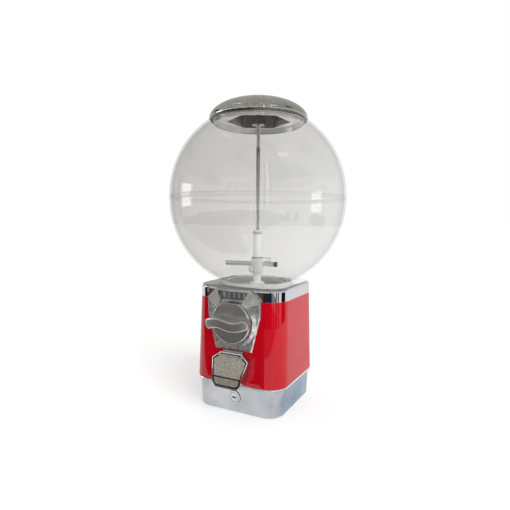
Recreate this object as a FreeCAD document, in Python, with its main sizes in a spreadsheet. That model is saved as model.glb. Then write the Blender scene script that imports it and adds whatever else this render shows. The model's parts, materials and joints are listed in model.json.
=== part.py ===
import FreeCAD, Part
import math
import os
import re
import Sketcher

# Gumball vending machine, in millimetres. The floor is z = 0, the front faces -Y
# and the globe's axis is the Z axis.

Vector = FreeCAD.Vector
Rotation = FreeCAD.Rotation
Placement = FreeCAD.Placement

doc = FreeCAD.newDocument("gumball_machine")

# Driving sizes. Heights of the coin mechanism are measured from its axis, and heights
# of the chute door from the top of the base.
SIZES = {
    # clearances
    "seat_gap": 0.15,
    "run_gap": 0.08,
    "press_gap": 0.02,
    "free_gap": 0.5,
    # base
    "base_height": 38.0,
    "base_foot_width": 117.0,
    "base_top_width": 119.2,
    "base_corner": 21.0,
    "base_chamfer": 1.2,
    "base_wall": 3.0,
    "base_floor": 4.0,
    "ledge_width": 127.0,
    "ledge_thick": 3.5,
    "ledge_corner": 26.5,
    "rim_height": 5.0,
    "rim_thick": 2.0,
    "boss_radius": 10.0,
    "boss_height": 11.0,
    "stand_bolt_bore": 5.25,
    # base lock
    "lock_height": 19.5,
    "lock_flange_radius": 8.4,
    "lock_flange_thick": 1.8,
    "lock_spot_depth": 0.6,
    "lock_barrel_radius": 7.0,
    "lock_barrel_length": 18.0,
    "lock_plug_radius": 5.8,
    "lock_nut_radius": 10.5,
    "lock_nut_thick": 3.0,
    "key_slot_length": 6.0,
    "key_slot_width": 1.5,
    "key_slot_depth": 4.0,
    "cam_length": 26.0,
    "cam_width": 13.0,
    "cam_thick": 2.0,
    "cam_screw_radius": 3.6,
    "cam_screw_head": 2.4,
    "catch_near": 11.0,
    "catch_width": 12.0,
    "catch_thick": 1.5,
    # shell
    "shell_foot_width": 126.0,
    "shell_top_width": 121.0,
    "shell_corner": 26.0,
    "shell_height": 105.0,
    "shell_wall": 1.2,
    # top casting
    "cap_height": 16.0,
    "cap_wall": 3.0,
    "cap_plate": 4.0,
    "cap_round": 4.5,
    "skirt_height": 5.0,
    "skirt_thick": 2.0,
    "mouth_radius": 39.6,
    "gasket_thick": 1.5,
    "gasket_inner": 40.2,
    "gasket_outer": 46.4,
    # globe
    "globe_radius": 115.0,
    "globe_wall": 2.6,
    "globe_collar": 7.5,
    "globe_foot_radius": 46.8,
    "globe_mouth_radius": 63.4,
    "seam_height": 5.0,
    "seam_proud": 0.5,
    # lid
    "lid_radius": 64.3,
    "lid_rim_height": 2.4,
    "lid_rim_taper": 2.0,
    "lid_dome_height": 26.6,
    "lid_wall": 1.4,
    "liner_wall": 1.2,
    "liner_skirt_depth": 4.6,
    "hollow_radius": 42.0,
    "hollow_taper": 7.0,
    "hollow_depth": 17.0,
    "hollow_turn": 27.0,
    "lid_lock_radius": 8.4,
    "lid_lock_drop": 4.5,
    "lid_lock_head_radius": 11.0,
    "lid_lock_head_thick": 1.6,
    "lid_plug_radius": 5.5,
    "lid_plug_length": 9.0,
    "lid_nut_radius": 12.0,
    "lid_nut_thick": 3.5,
    # centre rod
    "rod_radius": 2.5,
    "rod_engage": 18.0,
    "rod_tail": 7.0,
    "nut_radius": 4.6,
    "nut_thick": 4.0,
    "washer_radius": 7.0,
    "washer_thick": 1.0,
    # coin mechanism housing
    "mech_drop": 26.4,
    "mech_top": 40.0,
    "mech_shoulder": 28.0,
    "mech_hip": 9.0,
    "mech_foot": 36.0,
    "mech_top_half": 24.4,
    "mech_side_half": 36.8,
    "mech_foot_half": 25.6,
    "mech_draft": 1.2,
    "mech_plate": 3.5,
    "notch_half": 17.5,
    "notch_height": 0.6,
    "hood_depth": 9.8,
    "hood_brow_half": 13.3,
    "hood_brow": 23.3,
    "hood_step_side": 35.4,
    "hood_step": 24.4,
    "hood_heel_side": 21.5,
    "hood_heel": 19.0,
    "bezel_foot_radius": 33.0,
    "bezel_top_radius": 29.2,
    "bezel_depth": 8.2,
    "funnel_top_half": 22.6,
    "funnel_top": 38.2,
    "funnel_back_top_half": 19.6,
    "funnel_back_top": 36.4,
    "funnel_foot": 20.5,
    "funnel_foot_half": 13.3,
    "funnel_back_foot_half": 12.0,
    "guide_thick": 2.0,
    "guide_foot": 27.8,
    "guide_margin": 0.6,
    "rib_count": 5,
    "rib_pitch": 7.0,
    "rib_width": 1.5,
    "rib_depth": 1.6,
    "rib_margin": 1.2,
    # knob and drive
    "knob_radius": 26.5,
    "knob_thick": 4.5,
    "knob_bevel": 1.2,
    "knob_proud": 11.0,
    "knob_flat": 23.4,
    "handle_half": 28.5,
    "handle_thick": 13.0,
    "handle_depth": 15.5,
    "handle_end_depth": 10.5,
    "handle_crest_x": 10.0,
    "handle_crest": 1.5,
    "handle_end_round": 5.0,
    "handle_edge_round": 2.6,
    "shaft_radius": 3.5,
    "mech_front_wall": 2.2,
    "drum_radius": 27.0,
    "drum_wall": 2.5,
    "carrier_thick": 3.0,
    "coin_half": 12.3,
    "coin_seat": 6.0,
    "coin_thick": 2.4,
    "ratchet_radius": 20.0,
    "ratchet_tooth": 2.6,
    "ratchet_count": 12,
    "ratchet_thick": 2.0,
    "back_plate_depth": 3.1,
    "back_plate_half": 34.0,
    "back_plate_top": 24.0,
    "back_plate_foot": 29.0,
    "back_plate_thick": 2.0,
    "bush_radius": 5.6,
    "bush_length": 5.0,
    "leaf_thick": 0.4,
    "leaf_length": 20.0,
    "leaf_width": 1.6,
    "leaf_gap": 0.5,
    "post_radius": 1.1,
    "post_drop": 6.0,
    "mech_screw_radius": 2.0,
    "mech_screw_head_radius": 3.6,
    "mech_screw_head": 2.4,
    "mech_screw_reach": 2.2,
    "mech_screw_top_x": 30.5,
    "mech_screw_top_z": 18.5,
    "mech_screw_foot_x": 23.5,
    "mech_screw_foot_z": 20.5,
    "pinion_teeth": 8,
    "pinion_addendum": 1.7,
    "pinion_dedendum": 2.5,
    "pinion_root_half": 1.35,
    "pinion_tip_half": 0.7,
    "clip_radius": 5.0,
    "clip_thick": 0.8,
    # product wheel and its pan
    "pockets": 5,
    "pocket_radius": 13.5,
    "pocket_pitch": 25.2,
    "wheel_radius": 46.0,
    "wheel_thick": 22.0,
    "crown_width": 4.0,
    "crown_dedendum": 2.4,
    "crown_addendum": 1.8,
    "crown_root_half": 1.3,
    "crown_tip_half": 0.7,
    "wheel_hub_radius": 9.5,
    "wheel_hub_height": 8.0,
    "pan_gap": 1.0,
    "pan_wall": 2.5,
    "pan_floor": 2.5,
    "wheel_lift": 0.8,
    "thrust_radius": 9.0,
    "thrust_thick": 0.7,
    "outlet_radius": 13.2,
    "pan_flange_width": 7.4,
    "pan_flange": 3.0,
    "pinion_room": 1.5,
    "shield_gap": 1.0,
    "shield_thick": 2.0,
    "shield_inner": 13.0,
    "shield_half_angle": 34.0,
    "shield_screw_radius": 1.5,
    "shield_screw_head_radius": 2.6,
    "shield_screw_head": 1.8,
    "shield_screw_x": 12.0,
    "shield_screw_y": 41.8,
    "shield_screw_bite": 3.0,
    "cap_screw_radius": 1.8,
    "cap_screw_head_radius": 3.2,
    "cap_screw_head": 2.4,
    "cap_screw_bite": 3.0,
    "cap_screws": 4,
    # agitator
    "sleeve_radius": 5.5,
    "sleeve_above": 68.5,
    "agitator_above": 23.4,
    "agitator_turn": 10.6,
    "hub_radius": 8.3,
    "hub_above": 8.0,
    "hub_below": 12.0,
    "arm_radius": 3.1,
    "arm_seat": 1.0,
    "long_arm": 44.4,
    "short_arm": 23.0,
    "tip_length": 4.7,
    "tip_radius": 3.3,
    "wire_radius": 0.6,
    "wire_bend": 2.1,
    "wire_reach": 16.5,
    "wire_tail": 11.0,
    # chute and door
    "door_top": 40.5,
    "door_shoulder": 33.0,
    "door_split": 13.0,
    "door_hip": 6.0,
    "door_top_half": 14.8,
    "door_shoulder_half": 25.0,
    "door_split_half": 20.4,
    "door_hip_half": 19.4,
    "door_foot_half": 14.6,
    "door_top_reach": 5.5,
    "door_split_reach": 17.0,
    "door_foot_reach": 18.0,
    "frame_wall": 1.2,
    "frame_floor": 2.0,
    "door_gap": 1.6,
    "neck_half": 14.2,
    "neck_gap": 0.8,
    "flap_thick": 2.4,
    "knuckle_radius": 2.0,
    "pin_radius": 1.1,
    "pin_bite": 0.8,
    "lip_stop": 4.0,
    "lip_root_half": 9.0,
    "lip_wall": 1.5,
    "duct_half": 14.5,
    "duct_wall": 1.5,
    "duct_roof": 37.0,
    "duct_mouth": 8.0,
    "duct_back_floor": 29.0,
    "duct_knee": 16.0,
}

# Heights and places that follow from the driving sizes.
LEVELS = {
    "face": "shell_top_width / 2",
    "shell_top": "base_height + shell_height",
    "shell_gain": "(shell_top_width - shell_foot_width) / 2 / shell_height",
    "shell_at_rim": "shell_foot_width - (shell_foot_width - shell_top_width) * rim_height / shell_height",
    "rim_width": "shell_at_rim - 2 * shell_wall - 2 * seat_gap",
    "cap_top": "shell_top + cap_height",
    "plate_under": "cap_top - cap_plate",
    "base_slope": "(base_top_width - base_foot_width) / 2 / (base_height - ledge_thick)",
    "ledge_span": "max(ledge_width; base_top_width + ledge_thick; shell_foot_width)",
    "rim_inside": "rim_width - 2 * rim_thick",
    "base_inside": "base_top_width - 2 * base_wall",
    "ledge_inside": "min(base_inside; rim_inside)",
    "lock_face": "base_foot_width / 2 + base_slope * lock_height - lock_spot_depth",
    "globe_foot": "cap_top + gasket_thick",
    "globe_low": "globe_foot + sqrt(globe_radius ^ 2 - globe_foot_radius ^ 2)",
    "globe_high": "globe_low + globe_collar",
    "seam_low": "globe_low + (globe_collar - seam_height) / 2",
    "seam_high": "globe_low + (globe_collar + seam_height) / 2",
    "globe_mouth": "globe_high + sqrt(globe_radius ^ 2 - globe_mouth_radius ^ 2)",
    "mouth_bore": "sqrt((globe_radius - globe_wall) ^ 2 - globe_radius ^ 2 + globe_mouth_radius ^ 2)",
    "lid_rim": "globe_mouth + seat_gap",
    "lid_wide": "lid_rim + lid_rim_height",
    "lid_apex": "lid_wide + lid_dome_height",
    "hollow_roof": "lid_rim + hollow_depth",
    "lid_lock_foot": "lid_rim - lid_lock_drop",
    "rod_top": "lid_lock_foot + rod_engage",
    "axis_z": "shell_top - mech_drop",
    "knob_front": "face + knob_proud",
    "knob_back": "knob_front - knob_thick",
    "recess_floor": "knob_back - free_gap",
    "cavity_front": "recess_floor - mech_front_wall",
    "carrier_front": "cavity_front - free_gap",
    "carrier_back": "carrier_front - carrier_thick",
    "ratchet_front": "carrier_back - free_gap",
    "ratchet_back": "ratchet_front - ratchet_thick",
    "plate_face": "shell_foot_width / 2 + shell_gain * (axis_z - back_plate_foot - base_height)",
    "back_plate": "min(face; plate_face) - back_plate_depth",
    "cavity_radius": "drum_radius - drum_wall",
    "sill_top": "axis_z + drum_radius + seat_gap",
    "pinion_pitch": "(wheel_radius - crown_width / 2) / pockets",
    "pinion_tip": "pinion_pitch + pinion_addendum",
    "pinion_back": "wheel_radius - crown_width",
    "shaft_end": "pinion_back - clip_thick - 2 * seat_gap",
    "wheel_foot": "axis_z + pinion_pitch + crown_dedendum",
    "wheel_top": "wheel_foot + wheel_thick",
    "crown_tip": "axis_z + pinion_pitch - crown_addendum",
    "pan_deck": "wheel_foot - wheel_lift",
    "trench": "crown_tip - pan_gap",
    "pan_under": "trench - pan_floor",
    "deck_radius": "pinion_back - free_gap",
    "pan_bore": "wheel_radius + pan_gap",
    "pan_outer": "pan_bore + pan_wall",
    "shield_foot": "wheel_top + shield_gap",
    "sleeve_top": "cap_top + sleeve_above",
    "arm_z": "cap_top + agitator_above",
    "clip_low": "arm_z + arm_radius + seat_gap + wire_radius",
    "duct_front": "pocket_pitch + outlet_radius",
    "duct_back": "pocket_pitch - outlet_radius",
    "duct_lip": "shell_foot_width / 2 + shell_gain * duct_roof - shell_wall / 2",
    "mouth_floor": "base_height + duct_mouth",
    "mouth_roof": "base_height + duct_roof",
    "knee": "mouth_roof + duct_knee",
    "back_floor": "base_height + duct_back_floor",
    "door_top_z": "base_height + door_top",
    "door_shoulder_z": "base_height + door_shoulder",
    "door_neck_z": "max(door_top_z + frame_wall; axis_z - mech_foot + notch_height - neck_gap)",
    "door_split_z": "base_height + door_split",
    "door_hip_z": "base_height + door_hip",
    "door_face": "shell_foot_width / 2",
    "door_lean": "(door_split_reach - door_top_reach) / (door_top - door_split)",
    "pin_z": "door_top_z - frame_wall - free_gap - knuckle_radius",
    "pin_y": "door_face + door_top_reach + door_lean * (door_top_z - pin_z) - free_gap",
    "door_half_at_pin": "door_top_half + (door_shoulder_half - door_top_half)"
                        " * (door_top_z - pin_z) / (door_top - door_shoulder)",
}


def fill_sheet(name, cells):
    """Put named cells into a new sheet, one row each."""
    sheet = doc.addObject("Spreadsheet::Sheet", name)
    for row, (alias, content) in enumerate(cells.items(), start=1):
        sheet.set(f"A{row}", alias)
        sheet.set(f"B{row}", content)
        sheet.setAlias(f"B{row}", alias)
    doc.recompute()
    return sheet


def prefixed(text, names, sheet_name):
    """Turn bare names in a formula into references to one sheet's cells."""
    def reference(match):
        word = match.group(0)
        return f"{sheet_name}.{word}" if word in names else word
    return re.sub(r"[A-Za-z_][\w.]*", reference, text)


def linked(text):
    """Turn bare names in a formula into references to the sheets' cells."""
    return prefixed(prefixed(text, SIZES, "sizes"), LEVELS, "levels")


sizes = fill_sheet("sizes", {alias: str(number) for alias, number in SIZES.items()})
levels = fill_sheet(
    "levels",
    {alias: "=" + prefixed(text, SIZES, "sizes") for alias, text in LEVELS.items()},
)


def value(text):
    """The present number of a formula in the sizes."""
    return float(sizes.evalExpression(linked(text)))


def bind(item, prop, text):
    """Drive one property of an object by a formula in the sizes."""
    item.setExpression(prop, linked(text))


AXIS_TURN = {
    "z": Rotation(),
    "y": Rotation(Vector(1, 0, 0), -90),
    "x": Rotation(Vector(0, 1, 0), 90),
}
CROSS_AXES = {"z": "xy", "y": "xz", "x": "yz"}


def set_on_axis(item, along, low, at):
    """Stand an object on an axis: its foot at low, its centre line through at."""
    item.Placement = Placement(Vector(), AXIS_TURN[along])
    bind(item, f"Placement.Base.{along}", low)
    for letter, place in zip(CROSS_AXES[along], at):
        bind(item, f"Placement.Base.{letter}", place)


def cylinder(name, radius, low, high, along="z", at=("0", "0")):
    made = doc.addObject("Part::Cylinder", name)
    bind(made, "Radius", radius)
    bind(made, "Height", f"({high}) - ({low})")
    set_on_axis(made, along, low, at)
    return made


def cone(name, low_radius, high_radius, low, high, along="z", at=("0", "0")):
    made = doc.addObject("Part::Cone", name)
    bind(made, "Radius1", low_radius)
    bind(made, "Radius2", high_radius)
    bind(made, "Height", f"({high}) - ({low})")
    set_on_axis(made, along, low, at)
    return made


def hexagon(name, radius, low, high, along="z", at=("0", "0")):
    made = doc.addObject("Part::Prism", name)
    made.Polygon = 6
    bind(made, "Circumradius", radius)
    bind(made, "Height", f"({high}) - ({low})")
    set_on_axis(made, along, low, at)
    return made


def box(name, x, y, z):
    """A box between a low and a high formula on each axis."""
    made = doc.addObject("Part::Box", name)
    for letter, size, (low, high) in zip("xyz", ("Length", "Width", "Height"), (x, y, z)):
        bind(made, size, f"({high}) - ({low})")
        bind(made, f"Placement.Base.{letter}", low)
    return made


def sphere(name, radius, height):
    made = doc.addObject("Part::Sphere", name)
    bind(made, "Radius", radius)
    bind(made, "Placement.Base.z", height)
    return made


def fuse(name, *shapes):
    made = doc.addObject("Part::MultiFuse", name)
    made.Shapes = list(shapes)
    made.Refine = True
    return made


def cut(name, base, *tools):
    tool = tools[0] if len(tools) == 1 else fuse(f"{name}_tools", *tools)
    made = doc.addObject("Part::Cut", name)
    made.Base = base
    made.Tool = tool
    made.Refine = True
    return made


def common(name, *shapes):
    made = doc.addObject("Part::MultiCommon", name)
    made.Shapes = list(shapes)
    return made


def tube(name, outer, inner, low, high, along="z", at=("0", "0")):
    wall = cylinder(f"{name}_wall", outer, low, high, along, at)
    bore = cylinder(f"{name}_bore", inner, f"({low}) - 1", f"({high}) + 1", along, at)
    return cut(name, wall, bore)


def named(item, label):
    """Give the finished object of a piece the piece's name."""
    item.Label = label
    return item


SKETCH_TURN = {
    "xy": (Rotation(), "z"),
    "xz": (Rotation(Vector(1, 0, 0), 90), "y"),
    "yz": (Rotation(Vector(1, 1, 1), 120), "x"),
}


def new_sketch(name, plane, offset):
    sketch = doc.addObject("Sketcher::SketchObject", name)
    turn, letter = SKETCH_TURN[plane]
    sketch.Placement = Placement(Vector(), turn)
    bind(sketch, f"Placement.Base.{letter}", offset)
    return sketch


def hold(sketch, constraint, text):
    """Add a sized constraint and drive it by a formula."""
    index = sketch.addConstraint(constraint)
    bind(sketch, f"Constraints[{index}]", text)


def polygon(name, plane, corners, offset="0"):
    """A closed outline of straight edges through corners given as formulas."""
    sketch = new_sketch(name, plane, offset)
    points = [Vector(value(across), value(up), 0) for across, up in corners]
    following = points[1:] + points[:1]
    for start, end in zip(points, following):
        sketch.addGeometry(Part.LineSegment(start, end))
    for index in range(len(points)):
        after = (index + 1) % len(points)
        sketch.addConstraint(Sketcher.Constraint("Coincident", index, 2, after, 1))
    for index, (across, up) in enumerate(corners):
        point = points[index]
        hold(sketch, Sketcher.Constraint("DistanceX", -1, 1, index, 1, point.x), across)
        hold(sketch, Sketcher.Constraint("DistanceY", -1, 1, index, 1, point.y), up)
    return sketch


def rounded_square(name, width, radius, height):
    """A square with round corners, level and centred on the axis."""
    sketch = new_sketch(name, "xy", height)
    round_size = value(radius)
    half = value(width) / 2
    flat = half - round_size
    for turn in range(4):
        swing = Rotation(Vector(0, 0, 1), 90 * turn)
        start = swing.multVec(Vector(-flat, -half, 0))
        end = swing.multVec(Vector(flat, -half, 0))
        centre = swing.multVec(Vector(flat, -flat, 0))
        sketch.addGeometry(Part.LineSegment(start, end))
        circle = Part.Circle(centre, Vector(0, 0, 1), round_size)
        first = math.radians(90 * turn - 90)
        sketch.addGeometry(Part.ArcOfCircle(circle, first, first + math.pi / 2))
    for index in range(8):
        after = (index + 1) % 8
        sketch.addConstraint(Sketcher.Constraint("Tangent", index, 2, after, 1))
    for index, kind in ((0, "Horizontal"), (2, "Vertical"), (4, "Horizontal"), (6, "Vertical")):
        sketch.addConstraint(Sketcher.Constraint(kind, index))
    for index in (3, 5, 7):
        sketch.addConstraint(Sketcher.Constraint("Equal", 1, index))
    sketch.addConstraint(Sketcher.Constraint("Equal", 0, 2))
    sketch.addConstraint(Sketcher.Constraint("Symmetric", 1, 3, 5, 3, -1, 1))
    hold(sketch, Sketcher.Constraint("Radius", 1, round_size), radius)
    hold(sketch, Sketcher.Constraint("DistanceX", 6, 1, 2, 1, 2 * half), width)
    return sketch


def loft(name, *sections):
    made = doc.addObject("Part::Loft", name)
    made.Sections = list(sections)
    made.Solid = True
    made.Ruled = True
    return made


def extrude(name, profile, length, both_ways=False):
    """Push an outline along its normal: -Y from the xz plane, +X from yz, +Z from xy."""
    made = doc.addObject("Part::Extrusion", name)
    made.Base = profile
    made.DirMode = "Normal"
    made.Solid = True
    made.Symmetric = both_ways
    bind(made, "LengthFwd", length)
    return made


def revolve(name, profile):
    """Turn an outline of the xz plane about the Z axis."""
    made = doc.addObject("Part::Revolution", name)
    made.Source = profile
    made.Axis = Vector(0, 0, 1)
    made.Angle = 360
    made.Solid = True
    return made


def feature(name, shape, placement=None):
    """A piece whose shape comes from a loop or a curve in the sizes."""
    made = doc.addObject("Part::Feature", name)
    made.Shape = shape
    if placement is not None:
        made.Placement = placement.multiply(made.Placement)
    return made


def level_edges(item, height):
    """Numbers of an object's edges that lie level at a height."""
    doc.recompute()
    found = []
    for number, edge in enumerate(item.Shape.Edges, start=1):
        limits = edge.BoundBox
        if abs(limits.ZMin - height) < 1e-4 and abs(limits.ZMax - height) < 1e-4:
            found.append(number)
    return found


# Base: a cast pan with a ledge that the shell stands on and a rim that keeps it in place.
base_block = loft(
    "base_block",
    rounded_square("base_sole", "base_foot_width - 2 * base_chamfer", "base_corner - base_chamfer", "0"),
    rounded_square("base_foot", "base_foot_width", "base_corner", "base_chamfer"),
    rounded_square("base_brow", "base_top_width", "base_corner", "base_height - ledge_thick"),
)
base_hollow = loft(
    "base_hollow",
    rounded_square("hollow_foot", "base_foot_width - 2 * base_wall", "base_corner - base_wall", "base_floor"),
    rounded_square("hollow_brow", "base_inside", "base_corner - base_wall", "base_height - ledge_thick"),
)
ledge_block = extrude(
    "ledge_block",
    rounded_square("ledge_edge", "ledge_span", "ledge_corner", "base_height - ledge_thick"),
    "ledge_thick",
)
ledge_hole = extrude(
    "ledge_hole",
    rounded_square("ledge_hole_edge", "ledge_inside", "base_corner - base_wall", "base_height - ledge_thick"),
    "ledge_thick",
)
rim_block = extrude(
    "rim_block",
    rounded_square("rim_edge", "rim_width", "shell_corner - shell_wall - seat_gap", "base_height"),
    "rim_height",
)
rim_hole = extrude(
    "rim_hole",
    rounded_square("rim_hole_edge", "rim_inside", "shell_corner - shell_wall - seat_gap - rim_thick",
                   "base_height"),
    "rim_height",
)
base_shell = cut("base_shell", fuse("base_mass", base_block, ledge_block), base_hollow, ledge_hole)
base_ring = cut("base_ring", rim_block, rim_hole)
stand_boss = cylinder("stand_boss", "boss_radius", "base_floor / 2", "boss_height")
base_pan = named(
    cut(
        "base_pan_cut",
        fuse("base_body", base_shell, base_ring, stand_boss),
        cylinder("stand_bore", "stand_bolt_bore", "-1", "boss_height + 1"),
        cylinder("lock_bore", "lock_barrel_radius + seat_gap", "-face - 5", "-lock_face + 2 * base_wall",
                 "y", ("0", "lock_height")),
        cylinder("lock_spot", "lock_flange_radius + seat_gap", "-face - 5", "-lock_face",
                 "y", ("0", "lock_height")),
    ),
    "base_pan",
)

# Base lock: a flanged barrel held by a nut, and a plug that swings a cam over a hook.
lock_at = ("0", "lock_height")
lock_front = "-lock_face - lock_flange_thick"
barrel_back = "-lock_face + lock_barrel_length"
lock_barrel = named(
    cut(
        "lock_barrel_cut",
        fuse(
            "lock_barrel_body",
            cylinder("lock_flange", "lock_flange_radius", lock_front, "-lock_face", "y", lock_at),
            cylinder("lock_tube", "lock_barrel_radius", lock_front, barrel_back, "y", lock_at),
        ),
        cylinder("lock_plug_bore", "lock_plug_radius + run_gap", f"{lock_front} - 1", f"{barrel_back} + 1",
                 "y", lock_at),
    ),
    "base_lock_barrel",
)
nut_front = "-lock_face - lock_spot_depth + base_wall + abs(base_slope) * lock_nut_radius + seat_gap"
lock_nut = named(
    cut(
        "lock_nut_cut",
        hexagon("lock_nut_body", "lock_nut_radius", nut_front, f"{nut_front} + lock_nut_thick", "y", lock_at),
        cylinder("lock_nut_bore", "lock_barrel_radius + run_gap", f"{nut_front} - 1",
                 f"{nut_front} + lock_nut_thick + 1", "y", lock_at),
    ),
    "base_lock_nut",
)
cam_front = f"{barrel_back} + free_gap"
lock_plug = named(
    cut(
        "lock_plug_cut",
        cylinder("lock_plug_body", "lock_plug_radius", f"{lock_front} + seat_gap", cam_front, "y", lock_at),
        box("lock_key_slot", ("-key_slot_length / 2", "key_slot_length / 2"),
            (f"{lock_front} - 1", f"{lock_front} + key_slot_depth"),
            ("lock_height - key_slot_width / 2", "lock_height + key_slot_width / 2")),
    ),
    "base_lock_plug",
)
cam_back = f"{cam_front} + cam_thick"
lock_cam = named(
    cut(
        "lock_cam_cut",
        fuse(
            "lock_cam_body",
            cylinder("cam_root", "cam_width / 2", cam_front, cam_back, "y", lock_at),
            box("cam_tongue", ("0", "cam_length"), (cam_front, cam_back),
                ("lock_height - cam_width / 2", "lock_height + cam_width / 2")),
        ),
        cylinder("cam_hole", "cam_screw_radius / 2 + seat_gap", f"{cam_front} - 1", f"{cam_back} + 1",
                 "y", lock_at),
    ),
    "base_lock_cam",
)
cam_screw = named(
    fuse(
        "cam_screw_body",
        cylinder("cam_screw_shank", "cam_screw_radius / 2", cam_front, cam_back, "y", lock_at),
        hexagon("cam_screw_cap", "cam_screw_radius", cam_back, f"{cam_back} + cam_screw_head", "y", lock_at),
    ),
    "cam_screw",
)

# Shell: a tapered sheet sleeve with openings for the mechanism and the chute.
shell_block = loft(
    "shell_block",
    rounded_square("shell_foot", "shell_foot_width", "shell_corner", "base_height"),
    rounded_square("shell_brow", "shell_top_width", "shell_corner", "shell_top"),
)
shell_core = loft(
    "shell_core",
    rounded_square("core_foot", "shell_foot_width - 2 * shell_wall", "shell_corner - shell_wall", "base_height"),
    rounded_square("core_brow", "shell_top_width - 2 * shell_wall", "shell_corner - shell_wall", "shell_top"),
)
mech_at = ("0", "axis_z")
front_span = ("-shell_foot_width", "-face + 2 * cap_wall")
mech_window = cylinder("mech_window", "drum_radius + 2 * seat_gap", *front_span, "y", mech_at)
coin_window = box(
    "coin_window",
    ("-funnel_back_top_half - seat_gap", "funnel_back_top_half + seat_gap"),
    front_span,
    ("axis_z + guide_foot - guide_margin", "axis_z + funnel_back_top + guide_margin"),
)
chute_window = box(
    "chute_window",
    ("-duct_half - duct_wall - seat_gap", "duct_half + duct_wall + seat_gap"),
    front_span,
    ("mouth_floor - duct_wall - seat_gap", "mouth_roof + duct_wall + 2 * free_gap"),
)
SCREW_PLACES = (
    ("mech_screw_top_x", "axis_z + mech_screw_top_z"),
    ("-mech_screw_top_x", "axis_z + mech_screw_top_z"),
    ("mech_screw_foot_x", "axis_z - mech_screw_foot_z"),
    ("-mech_screw_foot_x", "axis_z - mech_screw_foot_z"),
)
shell_holes = [
    cylinder(f"shell_screw_hole_{number}", "mech_screw_radius + seat_gap", *front_span, "y", place)
    for number, place in enumerate(SCREW_PLACES)
]
shell = named(
    cut("shell_cut", shell_block, shell_core, mech_window, coin_window, chute_window, *shell_holes),
    "shell",
)

# Top casting: a hollow cap with a round top edge, the globe's mouth and an inner skirt.
cap_prism = extrude(
    "cap_prism",
    rounded_square("cap_edge", "shell_top_width", "shell_corner", "shell_top"),
    "cap_height",
)
cap_block = doc.addObject("Part::Fillet", "cap_block")
cap_block.Base = cap_prism
cap_block.Edges = [
    (number, value("cap_round"), value("cap_round"))
    for number in level_edges(cap_prism, value("cap_top"))
]
cap_core = extrude(
    "cap_core",
    rounded_square("cap_core_edge", "shell_top_width - 2 * cap_wall", "shell_corner - cap_wall", "shell_top"),
    "cap_height - cap_plate",
)
skirt_width = "shell_top_width - 2 * shell_wall - 2 * seat_gap"
skirt_corner = "shell_corner - shell_wall - seat_gap"
skirt_block = extrude(
    "skirt_block",
    rounded_square("skirt_edge", skirt_width, skirt_corner, "shell_top - skirt_height"),
    "skirt_height",
)
skirt_core = extrude(
    "skirt_core",
    rounded_square("skirt_core_edge", f"{skirt_width} - 2 * skirt_thick", f"{skirt_corner} - skirt_thick",
                   "shell_top - skirt_height"),
    "skirt_height",
)
skirt_window = box(
    "skirt_window",
    ("-back_plate_half - free_gap", "back_plate_half + free_gap"),
    ("-face - 5", "0"),
    ("shell_top - skirt_height - 1", "shell_top"),
)
cap_hollow = cut("cap_hollow", cap_block, cap_core)
cap_skirt = cut("cap_skirt", skirt_block, skirt_core, skirt_window)
screw_ring = "pan_outer + cap_screw_head_radius + seat_gap"


def around(name, count, make):
    """Copies of one cutter or fastener, evenly spaced about the Z axis from 45 degrees."""
    copies = []
    for number in range(int(value(count))):
        item = make(f"{name}_{number}")
        doc.recompute()
        angle = 45 + 360 * number / value(count)
        copies.append(feature(f"{name}_at_{number}", item.Shape,
                              Placement(Vector(), Rotation(Vector(0, 0, 1), angle))))
    return copies


def cap_screw_hole(name):
    return cylinder(name, "cap_screw_radius + run_gap", "plate_under - pan_flange - 1",
                    "plate_under + cap_screw_bite + seat_gap", "z", (screw_ring, "0"))


def cap_screw(name):
    head = cylinder(f"{name}_head", "cap_screw_head_radius", "plate_under - pan_flange - cap_screw_head",
                    "plate_under - pan_flange", "z", (screw_ring, "0"))
    shank = cylinder(f"{name}_shank", "cap_screw_radius", "plate_under - pan_flange",
                     "plate_under + cap_screw_bite", "z", (screw_ring, "0"))
    return fuse(name, head, shank)


screw_holes = around("cap_screw_hole", "cap_screws", cap_screw_hole)
SHIELD_SCREWS = (("-shield_screw_x", "-shield_screw_y"), ("shield_screw_x", "-shield_screw_y"))
shield_holes = [
    cylinder(f"shield_hole_{number}", "shield_screw_radius + run_gap", "shield_foot - 1",
             "plate_under + shield_screw_bite + seat_gap", "z", place)
    for number, place in enumerate(SHIELD_SCREWS)
]
top_casting = named(
    cut(
        "top_casting_cut",
        fuse("top_casting_body", cap_hollow, cap_skirt),
        cylinder("casting_mouth", "mouth_radius", "plate_under - 1", "cap_top + 1"),
        coin_window,
        mech_window,
        *screw_holes,
        *shield_holes,
    ),
    "top_casting",
)
casting_screws = named(
    fuse("casting_screw_group", *around("cap_screw", "cap_screws", cap_screw)),
    "casting_screws",
)
globe_gasket = named(
    tube("globe_gasket_ring", "gasket_outer", "gasket_inner", "cap_top", "globe_foot"),
    "globe_gasket",
)

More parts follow.
